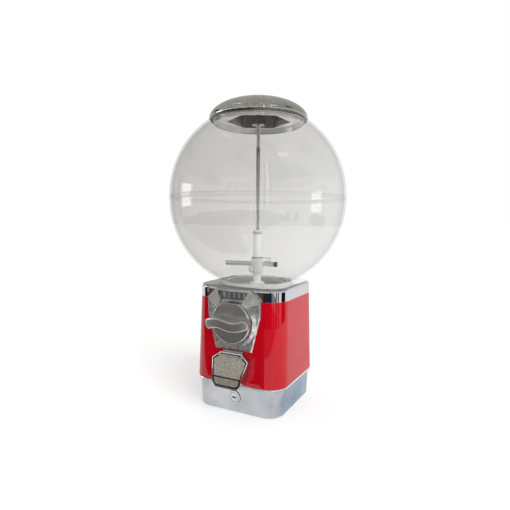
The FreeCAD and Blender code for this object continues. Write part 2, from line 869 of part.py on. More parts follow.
# Globe: two clear halves with a lap seam. The upper half laps over the lower one.
lap_radius = "globe_radius - globe_wall / 2"
inner_radius = "globe_radius - globe_wall"
low_ball = common(
    "low_ball_part",
    sphere("low_ball", "globe_radius", "globe_low"),
    cylinder("low_ball_span", "globe_radius + 1", "globe_foot", "globe_low"),
)
globe_lower = named(
    cut(
        "globe_lower_cut",
        fuse(
            "globe_lower_body",
            low_ball,
            cylinder("low_collar", "globe_radius", "globe_low", "seam_low"),
            cylinder("low_lap", lap_radius, "seam_low", "seam_high - seat_gap"),
        ),
        sphere("low_bore", inner_radius, "globe_low"),
        cylinder("low_collar_bore", inner_radius, "globe_low", "seam_high + 1"),
    ),
    "globe_lower",
)
high_ball = common(
    "high_ball_part",
    sphere("high_ball", "globe_radius", "globe_high"),
    cylinder("high_ball_span", "globe_radius + 1", "globe_high", "globe_mouth"),
)
globe_upper = named(
    cut(
        "globe_upper_cut",
        fuse(
            "globe_upper_body",
            high_ball,
            cylinder("high_collar", "globe_radius", "seam_high", "globe_high"),
            cylinder("high_lap", "globe_radius + seam_proud", "seam_low + seat_gap", "seam_high"),
        ),
        sphere("high_bore", inner_radius, "globe_high"),
        cylinder("high_collar_bore", inner_radius, "seam_low - 1", "globe_high"),
        cylinder("high_lap_bore", f"{lap_radius} + seat_gap", "seam_low - 1", "seam_high"),
    ),
    "globe_upper",
)

# Lid: a domed shell, and a liner with a skirt in the globe's mouth and a six-sided hollow.


def dome(name, flat_radius, height):
    ball = doc.addObject("Part::Ellipsoid", f"{name}_ball")
    bind(ball, "Radius1", height)
    bind(ball, "Radius2", flat_radius)
    bind(ball, "Radius3", flat_radius)
    bind(ball, "Placement.Base.z", "lid_wide")
    span = cylinder(f"{name}_span", "lid_radius + 1", "lid_wide", "lid_apex + 1")
    return common(name, ball, span)


lid_dome = named(
    cut(
        "lid_dome_cut",
        fuse(
            "lid_dome_body",
            dome("dome_outside", "lid_radius", "lid_dome_height"),
            cone("lid_rim_outside", "lid_radius - lid_rim_taper", "lid_radius", "lid_rim", "lid_wide"),
        ),
        dome("dome_inside", "lid_radius - lid_wall", "lid_dome_height - lid_wall"),
        cone("lid_rim_inside", "lid_radius - lid_rim_taper - lid_wall", "lid_radius - lid_wall",
             "lid_rim", "lid_wide"),
        cylinder("lid_lock_hole", "lid_lock_radius + seat_gap", "lid_wide", "lid_apex + 1"),
    ),
    "lid_dome",
)


def six_sided(name, foot, top, low, high):
    """A six-sided block that narrows upwards."""
    edges = []
    for suffix, radius, height in (("foot", foot, low), ("top", top, high)):
        edge = doc.addObject("Part::RegularPolygon", f"{name}_{suffix}")
        edge.Polygon = 6
        edge.Placement = Placement(Vector(), Rotation(Vector(0, 0, 1), value("hollow_turn")))
        bind(edge, "Circumradius", radius)
        bind(edge, "Placement.Base.z", height)
        edges.append(edge)
    return loft(name, *edges)


skirt_outer = "mouth_bore - free_gap"
lid_liner = named(
    cut(
        "lid_liner_cut",
        fuse(
            "lid_liner_body",
            cylinder("liner_plate", "lid_radius - lid_rim_taper - lid_wall - seat_gap",
                     "lid_rim", "lid_rim + liner_wall"),
            tube("liner_skirt", skirt_outer, f"{skirt_outer} - liner_wall",
                 "lid_rim - liner_skirt_depth", "lid_rim"),
            six_sided("hollow_outside", "hollow_radius + liner_wall", "hollow_radius - hollow_taper + liner_wall",
                      "lid_rim", "hollow_roof + liner_wall"),
        ),
        six_sided("hollow_inside", "hollow_radius", "hollow_radius - hollow_taper", "lid_rim", "hollow_roof"),
        cylinder("liner_lock_hole", "lid_lock_radius + seat_gap", "lid_rim", "lid_apex"),
    ),
    "lid_liner",
)
plug_foot = "lid_apex + lid_lock_head_thick - lid_plug_length"
lid_lock_barrel = named(
    cut(
        "lid_lock_barrel_cut",
        fuse(
            "lid_lock_barrel_body",
            cylinder("lid_lock_tube", "lid_lock_radius", "lid_lock_foot", "lid_apex"),
            cylinder("lid_lock_head", "lid_lock_head_radius", "lid_apex", "lid_apex + lid_lock_head_thick"),
        ),
        cylinder("lid_lock_rod_bore", "rod_radius + free_gap", "lid_lock_foot - 1", "rod_top + free_gap"),
        cylinder("lid_lock_plug_bore", "lid_plug_radius + run_gap", f"{plug_foot} - seat_gap",
                 "lid_apex + lid_lock_head_thick + 1"),
    ),
    "lid_lock_barrel",
)
lid_lock_nut = named(
    tube("lid_lock_nut_ring", "lid_nut_radius", "lid_lock_radius + run_gap",
         "hollow_roof - lid_nut_thick", "hollow_roof"),
    "lid_lock_nut",
)
plug_top = "lid_apex + lid_lock_head_thick - seat_gap"
lid_lock_plug = named(
    cut(
        "lid_lock_plug_cut",
        cylinder("lid_plug_body", "lid_plug_radius", plug_foot, plug_top),
        box("lid_key_slot", ("-key_slot_length / 2", "key_slot_length / 2"),
            ("-key_slot_width / 2", "key_slot_width / 2"),
            (f"{plug_top} - key_slot_depth", f"{plug_top} + 1")),
    ),
    "lid_lock_plug",
)

# Wheel pan: hangs under the casting by four lugs, with a trench for the wheel's teeth and an outlet.
pan_profile = polygon(
    "pan_profile",
    "xz",
    (
        ("rod_radius + seat_gap", "pan_under"),
        ("pan_outer", "pan_under"),
        ("pan_outer", "plate_under"),
        ("pan_bore", "plate_under"),
        ("pan_bore", "trench"),
        ("deck_radius", "trench"),
        ("deck_radius", "pan_deck"),
        ("rod_radius + seat_gap", "pan_deck"),
    ),
)
outlet_at = ("0", "-pocket_pitch")


def pan_lug(name):
    span = ("plate_under - pan_flange", "plate_under")
    ear = cylinder(f"{name}_ear", "pan_flange_width / 2", *span, "z", (screw_ring, "0"))
    arm = box(f"{name}_arm", ("pan_outer - pan_wall / 2", screw_ring),
              ("-pan_flange_width / 2", "pan_flange_width / 2"), span)
    return fuse(name, ear, arm)


wheel_pan = named(
    cut(
        "wheel_pan_cut",
        fuse("pan_body", revolve("pan_turned", pan_profile), *around("pan_lug", "cap_screws", pan_lug)),
        cylinder("pan_outlet", "outlet_radius", "pan_under - 1", "pan_deck + 1", "z", outlet_at),
        box("pinion_window", ("-pinion_tip - pinion_room", "pinion_tip + pinion_room"),
            ("-pan_outer - 1", "-shaft_end + free_gap"), ("pan_under - 1", "trench")),
        *screw_holes,
    ),
    "wheel_pan",
)
shield_reach = "2 * pan_outer"
shield_sector = extrude(
    "shield_sector",
    polygon(
        "shield_wedge",
        "xy",
        (
            ("0", "0"),
            (f"-{shield_reach} * tan(shield_half_angle)", f"-{shield_reach}"),
            (f"{shield_reach} * tan(shield_half_angle)", f"-{shield_reach}"),
        ),
        "shield_foot",
    ),
    "plate_under - shield_foot",
)
shield_rings = fuse(
    "shield_rings",
    tube("shield_deck", "pan_bore - seat_gap", "shield_inner", "shield_foot", "shield_foot + shield_thick"),
    tube("shield_wall", "pan_bore - seat_gap", "mouth_radius + free_gap", "shield_foot", "plate_under"),
)
shield_seat = "(shield_foot + seat_gap + shield_screw_head)"
shield_sinks = [
    cylinder(f"shield_sink_{number}", "shield_screw_head_radius + seat_gap", "shield_foot - 1", shield_seat,
             "z", place)
    for number, place in enumerate(SHIELD_SCREWS)
]
outlet_shield = named(
    cut(
        "outlet_shield_cut",
        common("outlet_shield_body", shield_rings, shield_sector),
        *shield_holes,
        *shield_sinks,
    ),
    "outlet_shield",
)
shield_screws = named(
    fuse(
        "shield_screw_group",
        *[
            fuse(
                f"shield_screw_{number}",
                cylinder(f"shield_shank_{number}", "shield_screw_radius", shield_seat,
                         "plate_under + shield_screw_bite", "z", place),
                cylinder(f"shield_head_{number}", "shield_screw_head_radius", "shield_foot + seat_gap",
                         shield_seat, "z", place),
            )
            for number, place in enumerate(SHIELD_SCREWS)
        ],
    ),
    "shield_screws",
)

# Centre rod: clamped under the pan, up through the wheel into the lid's lock.
rod_foot = "pan_under - washer_thick - nut_thick - rod_tail"
centre_rod = named(cylinder("centre_rod_body", "rod_radius", rod_foot, "rod_top"), "centre_rod")
rod_washer = named(
    tube("rod_washer_ring", "washer_radius", "rod_radius + seat_gap", "pan_under - washer_thick", "pan_under"),
    "rod_washer",
)
rod_nut = named(
    cut(
        "rod_nut_cut",
        hexagon("rod_nut_body", "nut_radius", "pan_under - washer_thick - nut_thick", "pan_under - washer_thick"),
        cylinder("rod_nut_bore", "rod_radius + run_gap", f"{rod_foot} - 1", "pan_under"),
    ),
    "rod_nut",
)
thrust_washer = named(
    tube("thrust_washer_ring", "thrust_radius", "rod_radius + seat_gap", "pan_deck", "pan_deck + thrust_thick"),
    "thrust_washer",
)

# Product wheel: a thick disc with through pockets and a crown of teeth underneath.


def crown_teeth():
    """All crown teeth, the first one at the front of the wheel."""
    outer = value("wheel_radius")
    foot, tip = value("wheel_foot"), value("crown_tip")
    root_half, tip_half = value("crown_root_half"), value("crown_tip_half")
    corners = [
        Vector(-root_half, -outer, foot),
        Vector(root_half, -outer, foot),
        Vector(tip_half, -outer, tip),
        Vector(-tip_half, -outer, tip),
    ]
    side = Part.Face(Part.makePolygon(corners + corners[:1]))
    tooth = side.extrude(Vector(0, value("crown_width"), 0))
    count = round(value("pinion_teeth * pockets"))
    teeth = []
    for number in range(count):
        copy = tooth.copy()
        copy.rotate(Vector(), Vector(0, 0, 1), 360 * number / count)
        teeth.append(copy)
    return Part.makeCompound(teeth)


def pocket_bores():
    """All pockets, the first one over the outlet."""
    count = round(value("pockets"))
    bores = []
    for number in range(count):
        place = Rotation(Vector(0, 0, 1), 360 * number / count).multVec(Vector(0, -value("pocket_pitch"), 0))
        foot = place + Vector(0, 0, value("wheel_foot") - 1)
        bores.append(Part.makeCylinder(value("pocket_radius"), value("wheel_thick") + 2, foot))
    return Part.makeCompound(bores)


wheel_disc = fuse(
    "wheel_disc",
    cylinder("wheel_plate", "wheel_radius", "wheel_foot", "wheel_top"),
    cylinder("wheel_hub", "wheel_hub_radius", "wheel_top", "wheel_top + wheel_hub_height"),
)
product_wheel = named(
    fuse(
        "product_wheel_body",
        cut(
            "wheel_bored",
            wheel_disc,
            feature("wheel_pockets", pocket_bores()),
            cylinder("wheel_bore", "sleeve_radius + press_gap", "wheel_foot - 1",
                     "wheel_top + wheel_hub_height + 1"),
        ),
        feature("wheel_crown", crown_teeth()),
    ),
    "product_wheel",
)
rod_sleeve = named(
    tube("rod_sleeve_tube", "sleeve_radius", "rod_radius + run_gap", "wheel_foot", "sleeve_top"),
    "rod_sleeve",
)

# Agitator: a collar on the sleeve with two arms, a soft tip and a bent wire clip. It is
# drawn along X and then turned to its resting direction.
agitator_pose = Placement(Vector(), Rotation(Vector(0, 0, 1), value("agitator_turn")))


def set_turned(item, label):
    """A finished copy of an agitator piece, turned to its resting direction."""
    doc.recompute()
    return named(feature(f"{label}_turned", item.Shape, agitator_pose), label)


arm_at = ("0", "arm_z")
arm_root = "hub_radius - arm_seat"
hub_ring = tube("hub_ring", "hub_radius", "sleeve_radius + press_gap", "arm_z - hub_below", "arm_z + hub_above")
agitator_hub = set_turned(
    cut(
        "agitator_hub_cut",
        hub_ring,
        cylinder("right_socket", "arm_radius + press_gap", arm_root, "2 * hub_radius", "x", arm_at),
        cylinder("left_socket", "arm_radius + press_gap", "-2 * hub_radius", f"-({arm_root})", "x", arm_at),
    ),
    "agitator_hub",
)
long_arm = set_turned(
    cylinder("long_arm_rod", "arm_radius", "-long_arm", f"-({arm_root})", "x", arm_at),
    "agitator_long_arm",
)
short_arm = set_turned(
    cylinder("short_arm_rod", "arm_radius", arm_root, "short_arm", "x", arm_at),
    "agitator_short_arm",
)
arm_tip = set_turned(
    cylinder("arm_tip_cap", "tip_radius", "short_arm", "short_arm + tip_length", "x", arm_at),
    "agitator_tip",
)
clip_bend = doc.addObject("Part::Torus", "clip_bend")
clip_bend.Placement = Placement(Vector(), Rotation(Vector(1, 1, 1), -120))
clip_bend.Angle3 = 180
bind(clip_bend, "Radius1", "wire_bend")
bind(clip_bend, "Radius2", "wire_radius")
bind(clip_bend, "Placement.Base.x", "wire_reach")
bind(clip_bend, "Placement.Base.z", "clip_low + wire_bend")
agitator_clip = set_turned(
    fuse(
        "agitator_clip_wire",
        clip_bend,
        cylinder("clip_upper_run", "wire_radius", "hub_radius + press_gap", "wire_reach", "x",
                 ("0", "clip_low + 2 * wire_bend")),
        cylinder("clip_lower_run", "wire_radius", "wire_tail", "wire_reach", "x", ("0", "clip_low")),
    ),
    "agitator_clip",
)

# Coin mechanism housing: a faceted plate with a hood, a conical bezel and a coin funnel.


def mirrored(right_side):
    """A closed outline from its right half, given from top to foot."""
    left_side = [(f"-({across})", up) for across, up in reversed(right_side)]
    return right_side + left_side


def mech_outline(name, inset, offset):
    right_side = [
        (f"mech_top_half - {inset} / 2", f"axis_z + mech_top - {inset}"),
        (f"mech_side_half - {inset}", f"axis_z + mech_shoulder - {inset} / 2"),
        (f"mech_side_half - {inset}", "axis_z + mech_hip"),
        (f"mech_foot_half - {inset}", f"axis_z - mech_foot + {inset}"),
    ]
    return polygon(name, "xz", mirrored(right_side), offset)


def slanted_cutter(name, first, second, third):
    """A block that covers everything in front of the plane through three points."""
    normal = (second - first).cross(third - first).normalize()
    if normal.y > 0:
        normal = -normal
    reach = 4 * value("mech_side_half")
    block = Part.makeBox(reach, reach, reach, Vector(-reach / 2, -reach / 2, 0))
    return feature(name, block, Placement(first, Rotation(Vector(0, 0, 1), normal)))


def hood_corner(side, across, depth, up):
    return Vector(side * value(across), -value(f"face + {depth}"), value(f"axis_z + {up}"))


mech_back = "-face + cap_wall"
mech_slab = loft(
    "mech_slab",
    mech_outline("mech_outline_back", "0", mech_back),
    mech_outline("mech_outline_edge", "0", "-face - mech_plate + mech_draft"),
    mech_outline("mech_outline_front", "mech_draft", "-face - mech_plate"),
)
hood_outline = polygon(
    "hood_outline",
    "xz",
    mirrored([
        ("mech_top_half", "axis_z + mech_top"),
        ("mech_side_half", "axis_z + mech_shoulder"),
        ("hood_step_side", "axis_z + hood_step"),
        ("hood_heel_side", "axis_z + hood_heel"),
    ]),
    mech_back,
)
facets = []
for side in (-1, 1):
    facets.append(slanted_cutter(
        f"hood_facet_{len(facets)}",
        hood_corner(side, "mech_top_half", "mech_plate", "mech_top"),
        hood_corner(side, "mech_side_half", "mech_plate", "mech_shoulder"),
        hood_corner(side, "hood_brow_half", "hood_depth", "hood_brow"),
    ))
mech_hood = cut("mech_hood", extrude("hood_block", hood_outline, "hood_depth + cap_wall"), *facets)
mech_bezel = cone("mech_bezel", "bezel_top_radius", "bezel_foot_radius", "-face - bezel_depth",
                  "-face - mech_plate + mech_draft", "y", mech_at)


def funnel_outline(name, top_half, top, foot_half, offset):
    return polygon(
        name,
        "xz",
        mirrored([(top_half, f"axis_z + {top}"), (foot_half, "axis_z + funnel_foot")]),
        offset,
    )


coin_funnel = loft(
    "coin_funnel",
    funnel_outline("funnel_back", "funnel_back_top_half", "funnel_back_top", "funnel_back_foot_half", mech_back),
    funnel_outline("funnel_front", "funnel_top_half", "funnel_top", "funnel_foot_half", "-face - hood_depth - 1"),
)
funnel_sill = box("funnel_sill", ("-funnel_back_top_half", "funnel_back_top_half"),
                  ("-face - mech_plate / 2", mech_back), ("axis_z", "sill_top"))
funnel_room = cut("funnel_room", coin_funnel, funnel_sill)
mech_recess = cylinder("mech_recess", "knob_radius + free_gap", "-face - 2 * knob_proud", "-recess_floor",
                       "y", mech_at)
foot_notch = box("foot_notch", ("-notch_half", "notch_half"), ("-face - 2 * mech_plate", "-face + 1"),
                 ("axis_z - mech_foot - 1", "axis_z - mech_foot + notch_height"))
mech_front = cut(
    "mech_front",
    fuse("mech_mass", mech_slab, mech_hood, mech_bezel),
    shell_block,
    cap_block,
    funnel_room,
    mech_recess,
    foot_notch,
)
mech_drum = cylinder("mech_drum", "drum_radius", "-face - mech_plate / 2", "-back_plate", "y", mech_at)
coin_slot = box(
    "coin_slot",
    ("-coin_half - free_gap", "coin_half + free_gap"),
    ("-carrier_front", "-carrier_front + coin_thick"),
    ("axis_z + coin_seat", "axis_z + drum_radius + free_gap"),
)
mech_screw_holes = [
    cylinder(f"mech_screw_hole_{number}", "mech_screw_radius + run_gap",
             "-face - mech_screw_reach - seat_gap", "0", "y", place)
    for number, place in enumerate(SCREW_PLACES)
]
mech_housing = named(
    cut(
        "mech_housing_cut",
        fuse("mech_housing_body", mech_front, mech_drum),
        cylinder("mech_cavity", "cavity_radius", "-cavity_front", "0", "y", mech_at),
        cylinder("mech_shaft_bore", "shaft_radius + run_gap", "-recess_floor - 1", "-cavity_front + 1",
                 "y", mech_at),
        coin_slot,
        *mech_screw_holes,
    ),
    "mech_housing",
)
guide_front = "-face + seat_gap"
guide_ribs = []
for number in range(int(value("rib_count"))):
    middle = f"rib_pitch * ({number} - (rib_count - 1) / 2)"
    guide_ribs.append(box(
        f"guide_rib_{number}",
        (f"{middle} - rib_width / 2", f"{middle} + rib_width / 2"),
        (f"{guide_front} - rib_depth", guide_front),
        ("axis_z + guide_foot + rib_margin", "axis_z + funnel_back_top - rib_margin"),
    ))
coin_guide = named(
    fuse(
        "coin_guide_body",
        box("guide_plate", ("-funnel_back_top_half + guide_margin", "funnel_back_top_half - guide_margin"),
            (guide_front, f"{guide_front} + guide_thick"),
            ("axis_z + guide_foot", "axis_z + funnel_back_top")),
        *guide_ribs,
    ),
    "coin_guide",
)
plate_span = ("-back_plate", "-back_plate + back_plate_thick")
mech_back_plate = named(
    cut(
        "mech_back_plate_cut",
        box("back_plate_sheet", ("-back_plate_half", "back_plate_half"), plate_span,
            ("axis_z - back_plate_foot", "axis_z + back_plate_top")),
        cylinder("back_plate_bore", "bush_radius + press_gap", "-face", "0", "y", mech_at),
        cylinder("pan_room", "pan_outer + free_gap", "pan_under - free_gap", "plate_under"),
        *mech_screw_holes,
    ),
    "mech_back_plate",
)
shaft_bush = named(
    tube("shaft_bush_tube", "bush_radius", "shaft_radius + run_gap", "-back_plate", "-back_plate + bush_length",
         "y", mech_at),
    "shaft_bush",
)
screw_seat = "-back_plate + back_plate_thick"
mech_screws = named(
    fuse(
        "mech_screw_group",
        *[
            fuse(
                f"mech_screw_{number}",
                cylinder(f"mech_screw_shank_{number}", "mech_screw_radius", "-face - mech_screw_reach",
                         screw_seat, "y", place),
                hexagon(f"mech_screw_head_{number}", "mech_screw_head_radius", screw_seat,
                        f"{screw_seat} + mech_screw_head", "y", place),
            )
            for number, place in enumerate(SCREW_PLACES)
        ],
    ),
    "mech_screws",
)
leaf_edge = "-ratchet_radius - leaf_gap"
leaf_front = "-ratchet_front + seat_gap"
pawl_leaf = named(
    box("pawl_leaf_strip", (f"{leaf_edge} - leaf_thick", leaf_edge), (leaf_front, f"{leaf_front} + leaf_width"),
        ("axis_z - leaf_length / 2", "axis_z + leaf_length / 2")),
    "pawl_leaf",
)
pawl_post = named(
    cylinder("pawl_post_pin", "post_radius", leaf_front, "-back_plate", "y",
             (f"{leaf_edge} - leaf_thick - post_radius", "axis_z - post_drop")),
    "pawl_post",
)

# Knob: a bevelled disc with a flat for the coin, a wavy bar, and the shaft with its wheels.
knob_disc = named(
    cut(
        "knob_disc_cut",
        fuse(
            "knob_disc_body",
            cylinder("knob_drum", "knob_radius", "-knob_front + knob_bevel", "-knob_back", "y", mech_at),
            cone("knob_edge", "knob_radius - knob_bevel", "knob_radius", "-knob_front",
                 "-knob_front + knob_bevel", "y", mech_at),
        ),
        box("knob_flat_cut", ("-knob_radius", "knob_radius"), ("-knob_front - 1", "-knob_back + 1"),
            ("axis_z + knob_flat", "axis_z + knob_radius + 1")),
    ),
    "knob_disc",
)


def arc_about(centre, radius, start, end):
    """The short arc about a centre between two points at one radius."""
    middle = (start - centre).normalize() + (end - centre).normalize()
    return Part.Arc(start, centre + middle.normalize() * radius, end).toShape()


def handle_bar():
    """A bar along an S of two arcs, bowed towards its ends and rounded all over its front."""
    half, thick, depth = value("handle_half"), value("handle_thick"), value("handle_depth")
    crest_x, crest = value("handle_crest_x"), value("handle_crest")
    bend = (crest_x ** 2 + crest ** 2) / (2 * crest)
    left = Vector(-crest_x, 0, crest - bend)
    right = -left
    end_up = crest - bend + math.sqrt(bend ** 2 - (half - crest_x) ** 2)
    left_end = Vector(-half, 0, end_up)
    end_normal = (left_end - left).normalize() * (thick / 2)
    middle_normal = (-left).normalize() * (thick / 2)
    wide, narrow = bend + thick / 2, bend - thick / 2
    edges = [
        arc_about(left, wide, left_end + end_normal, middle_normal),
        arc_about(right, narrow, middle_normal, -left_end + end_normal),
        Part.makeLine(-left_end + end_normal, -left_end - end_normal),
        arc_about(right, wide, -left_end - end_normal, -middle_normal),
        arc_about(left, narrow, -middle_normal, left_end - end_normal),
        Part.makeLine(left_end - end_normal, left_end + end_normal),
    ]
    bar = Part.Face(Part.Wire(edges)).extrude(Vector(0, -depth, 0))
    end_corners = [
        edge for edge in bar.Edges
        if edge.BoundBox.YLength > depth / 2 and abs(edge.BoundBox.Center.x) > half / 2
    ]
    bar = bar.makeFillet(value("handle_end_round"), end_corners)
    drop = depth - value("handle_end_depth")
    bow = (half ** 2 + drop ** 2) / (2 * drop)
    drum = Part.makeCylinder(bow, 4 * thick, Vector(0, bow - depth, -2 * thick))
    bar = bar.common(drum)
    front_edges = []
    for face in bar.Faces:
        if isinstance(face.Surface, Part.Cylinder) and abs(face.Surface.Radius - bow) < 1e-6:
            front_edges.extend(face.Edges)
    return bar.makeFillet(value("handle_edge_round"), front_edges)


handle = named(
    feature("handle_bar", handle_bar(), Placement(Vector(0, -value("knob_front"), value("axis_z")), Rotation())),
    "handle",
)
drive_shaft = named(
    cylinder("drive_shaft_rod", "shaft_radius", "-knob_back", "-shaft_end", "y", mech_at),
    "drive_shaft",
)
shaft_seat = "shaft_radius + press_gap"
coin_carrier = named(
    cut(
        "coin_carrier_cut",
        tube("carrier_ring", "cavity_radius - free_gap", shaft_seat, "-carrier_front", "-carrier_back",
             "y", mech_at),
        box("coin_notch", ("-coin_half", "coin_half"), ("-carrier_front - 1", "-carrier_back + 1"),
            ("axis_z + coin_seat", "axis_z + drum_radius")),
    ),
    "coin_carrier",
)


def toothed_disc(corners, front, back):
    """A disc across the mechanism's axis from the outline of one tooth after another."""
    height = value("axis_z")
    points = [Vector(across, -front, height + up) for across, up in corners]
    side = Part.Face(Part.makePolygon(points + points[:1]))
    disc = side.extrude(Vector(0, front - back, 0))
    bore = Part.makeCylinder(value(shaft_seat), front - back + 2, Vector(0, -front - 1, height), Vector(0, 1, 0))
    return disc.cut(bore)


def ratchet_corners():
    """Saw teeth: one steep flank and one long flank each."""
    count = round(value("ratchet_count"))
    tip = value("ratchet_radius")
    root = tip - value("ratchet_tooth")
    corners = []
    for number in range(count):
        angle = 2 * math.pi * number / count
        corners.append((root * math.sin(angle), root * math.cos(angle)))
        corners.append((tip * math.sin(angle), tip * math.cos(angle)))
    return corners


def pinion_corners():
    """Straight-sided teeth, with a gap at the top for the crown's front tooth."""
    count = round(value("pinion_teeth"))
    root, tip = value("pinion_pitch - pinion_dedendum"), value("pinion_tip")
    root_half, tip_half = value("pinion_root_half"), value("pinion_tip_half")
    corners = []
    for number in range(count):
        angle = 2 * math.pi * (number + 0.5) / count
        out = (math.sin(angle), math.cos(angle))
        side = (math.cos(angle), -math.sin(angle))
        for radius, half in ((root, -root_half), (tip, -tip_half), (tip, tip_half), (root, root_half)):
            corners.append((radius * out[0] + half * side[0], radius * out[1] + half * side[1]))
    return corners


ratchet_wheel = named(
    feature("ratchet_disc", toothed_disc(ratchet_corners(), value("ratchet_front"), value("ratchet_back"))),
    "ratchet_wheel",
)
drive_pinion = named(
    feature("pinion_disc", toothed_disc(pinion_corners(), value("wheel_radius"), value("pinion_back"))),
    "drive_pinion",
)
shaft_clip = named(
    tube("shaft_clip_ring", "clip_radius", shaft_seat, "-pinion_back", "-pinion_back + clip_thick", "y", mech_at),
    "shaft_clip",
)

# Chute: a duct from the outlet to the front, with a door frame, a flap and a fixed lip.


def duct_profile(name, grow):
    return polygon(
        name,
        "yz",
        (
            (f"-duct_back + {grow}", "pan_under"),
            (f"-duct_front - {grow}", "pan_under"),
            (f"-duct_front - {grow}", f"knee + {grow}"),
            ("-duct_lip", f"mouth_roof + {grow}"),
            ("-duct_lip", f"mouth_floor - {grow}"),
            (f"-duct_back + {grow}", f"back_floor - {grow}"),
        ),
    )


duct_block = extrude("duct_block", duct_profile("duct_outside", "duct_wall"), "2 * (duct_half + duct_wall)", True)
chute_duct = named(
    cut("chute_duct_cut", duct_block, extrude("duct_bore", duct_profile("duct_inside", "0"), "2 * duct_half", True)),
    "chute_duct",
)
catch_back = f"({cam_front} - free_gap)"
catch_span = ("catch_near", "catch_near + catch_width")
catch_foot = "(lock_height - cam_width / 2 - free_gap - catch_thick)"
latch_catch = named(
    cut(
        "latch_catch_cut",
        fuse(
            "latch_hook",
            box("hook_shank", catch_span, (f"{catch_back} - catch_thick", catch_back),
                (catch_foot, "back_floor")),
            box("hook_foot", catch_span, (f"{catch_back} - catch_thick", f"{cam_back} + free_gap"),
                (catch_foot, f"{catch_foot} + catch_thick")),
        ),
        duct_block,
    ),
    "latch_catch",
)


def door_outline(name, inset, foot_inset):
    """The door's front outline, drawn in evenly from the outer edge of its frame."""
    right_side = [
        (f"door_top_half - {inset}", f"door_top_z - {inset}"),
        (f"door_shoulder_half - {inset}", f"door_shoulder_z - {inset} / 2"),
        (f"door_split_half - {inset}", "door_split_z"),
        (f"door_hip_half - {inset}", "door_hip_z"),
        (f"door_foot_half - {inset} / 2", f"base_height + {foot_inset}"),
    ]
    return extrude(
        f"{name}_front",
        polygon(f"{name}_outline", "xz", mirrored(right_side), "0"),
        "2 * door_face",
    )


def door_side(name, corners):
    """A block across the whole door from its side outline."""
    return extrude(f"{name}_side", polygon(f"{name}_side_outline", "yz", corners), "4 * door_shoulder_half", True)


def door_front(height):
    """Where the door's leaning front lies at a height above its split, as a formula."""
    return f"-(door_face + door_split_reach - door_lean * ({height} - door_split_z))"


frame_mass = common(
    "frame_mass",
    door_outline("frame", "0", "0"),
    door_side(
        "frame",
        (
            ("-face + cap_wall", "door_top_z"),
            ("-door_face - door_top_reach", "door_top_z"),
            ("-door_face - door_split_reach", "door_split_z"),
            ("-door_face - door_foot_reach", "base_height"),
            ("-face + cap_wall", "base_height"),
        ),
    ),
)
frame_neck = box("frame_neck", ("-neck_half", "neck_half"), ("-face - mech_plate", "-face + cap_wall"),
                 ("door_top_z - frame_wall", "door_neck_z"))
pin_half = "door_half_at_pin - frame_wall + pin_bite"
pin_at = ("-pin_y", "pin_z")
chute_frame = named(
    cut(
        "chute_frame_cut",
        fuse("frame_body", frame_mass, frame_neck),
        door_outline("frame_hole", "frame_wall", "frame_floor"),
        shell_block,
        cylinder("frame_pin_bore", "pin_radius + run_gap", f"-({pin_half})", pin_half, "x", pin_at),
    ),
    "chute_frame",
)
hinge_pin = named(
    cylinder("hinge_pin_rod", "pin_radius", f"-({pin_half})", pin_half, "x", pin_at),
    "flap_hinge_pin",
)
leaf_inset = "(frame_wall + door_gap)"
flap_foot = "(door_split_z + door_gap / 2)"
flap_plate = common(
    "flap_plate",
    door_outline("flap", leaf_inset, "0"),
    door_side(
        "flap",
        (
            (door_front("pin_z"), "pin_z"),
            (door_front(flap_foot), flap_foot),
            (f"{door_front(flap_foot)} + flap_thick", flap_foot),
            (f"{door_front('pin_z')} + flap_thick", "pin_z"),
        ),
    ),
)
knuckle_half = f"door_top_half - {leaf_inset}"
flap = named(
    cut(
        "flap_cut",
        fuse(
            "flap_body",
            flap_plate,
            cylinder("flap_knuckle", "knuckle_radius", f"-({knuckle_half})", knuckle_half, "x", pin_at),
        ),
        cylinder("flap_pin_bore", "pin_radius + run_gap", "-door_shoulder_half", "door_shoulder_half", "x", pin_at),
    ),
    "flap",
)
lip_top = "(door_split_z - door_gap / 2)"
lip_foot = "(base_height + frame_floor + door_gap)"
stop_top = "(door_split_z + lip_stop)"
stop_gap = "flap_thick + 2 * seat_gap"
lip_back = f"-door_face - door_foot_reach + {stop_gap} + lip_wall"
chute_lip = named(
    fuse(
        "chute_lip_body",
        common(
            "lip_plate",
            door_outline("lip", leaf_inset, f"frame_floor + door_gap"),
            door_side(
                "lip",
                (
                    (door_front(lip_top), lip_top),
                    ("-door_face - door_foot_reach", lip_foot),
                    (lip_back, lip_foot),
                    (f"{door_front(stop_top)} + {stop_gap} + lip_wall", stop_top),
                    (f"{door_front(stop_top)} + {stop_gap}", stop_top),
                    (f"{door_front(lip_top)} + {stop_gap}", lip_top),
                ),
            ),
        ),
        box("lip_root", ("-lip_root_half", "lip_root_half"), (f"{lip_back} - lip_wall", lip_back),
            ("base_height + frame_floor", f"{lip_foot} + door_gap")),
    ),
    "chute_lip",
)

# Every finished piece, checked and written to its own file.
PIECES = (
    base_pan, lock_barrel, lock_nut, lock_plug, lock_cam, cam_screw, latch_catch,
    shell, top_casting, casting_screws, globe_gasket, globe_lower, globe_upper,
    lid_dome, lid_liner, lid_lock_barrel, lid_lock_nut, lid_lock_plug,
    wheel_pan, outlet_shield, shield_screws, centre_rod, rod_washer, rod_nut, thrust_washer,
    product_wheel, rod_sleeve, agitator_hub, long_arm, short_arm, arm_tip, agitator_clip,
    mech_housing, coin_guide, mech_back_plate, shaft_bush, mech_screws, pawl_leaf, pawl_post,
    knob_disc, handle, drive_shaft, coin_carrier, ratchet_wheel, drive_pinion, shaft_clip,
    chute_duct, chute_frame, hinge_pin, flap, chute_lip,
)

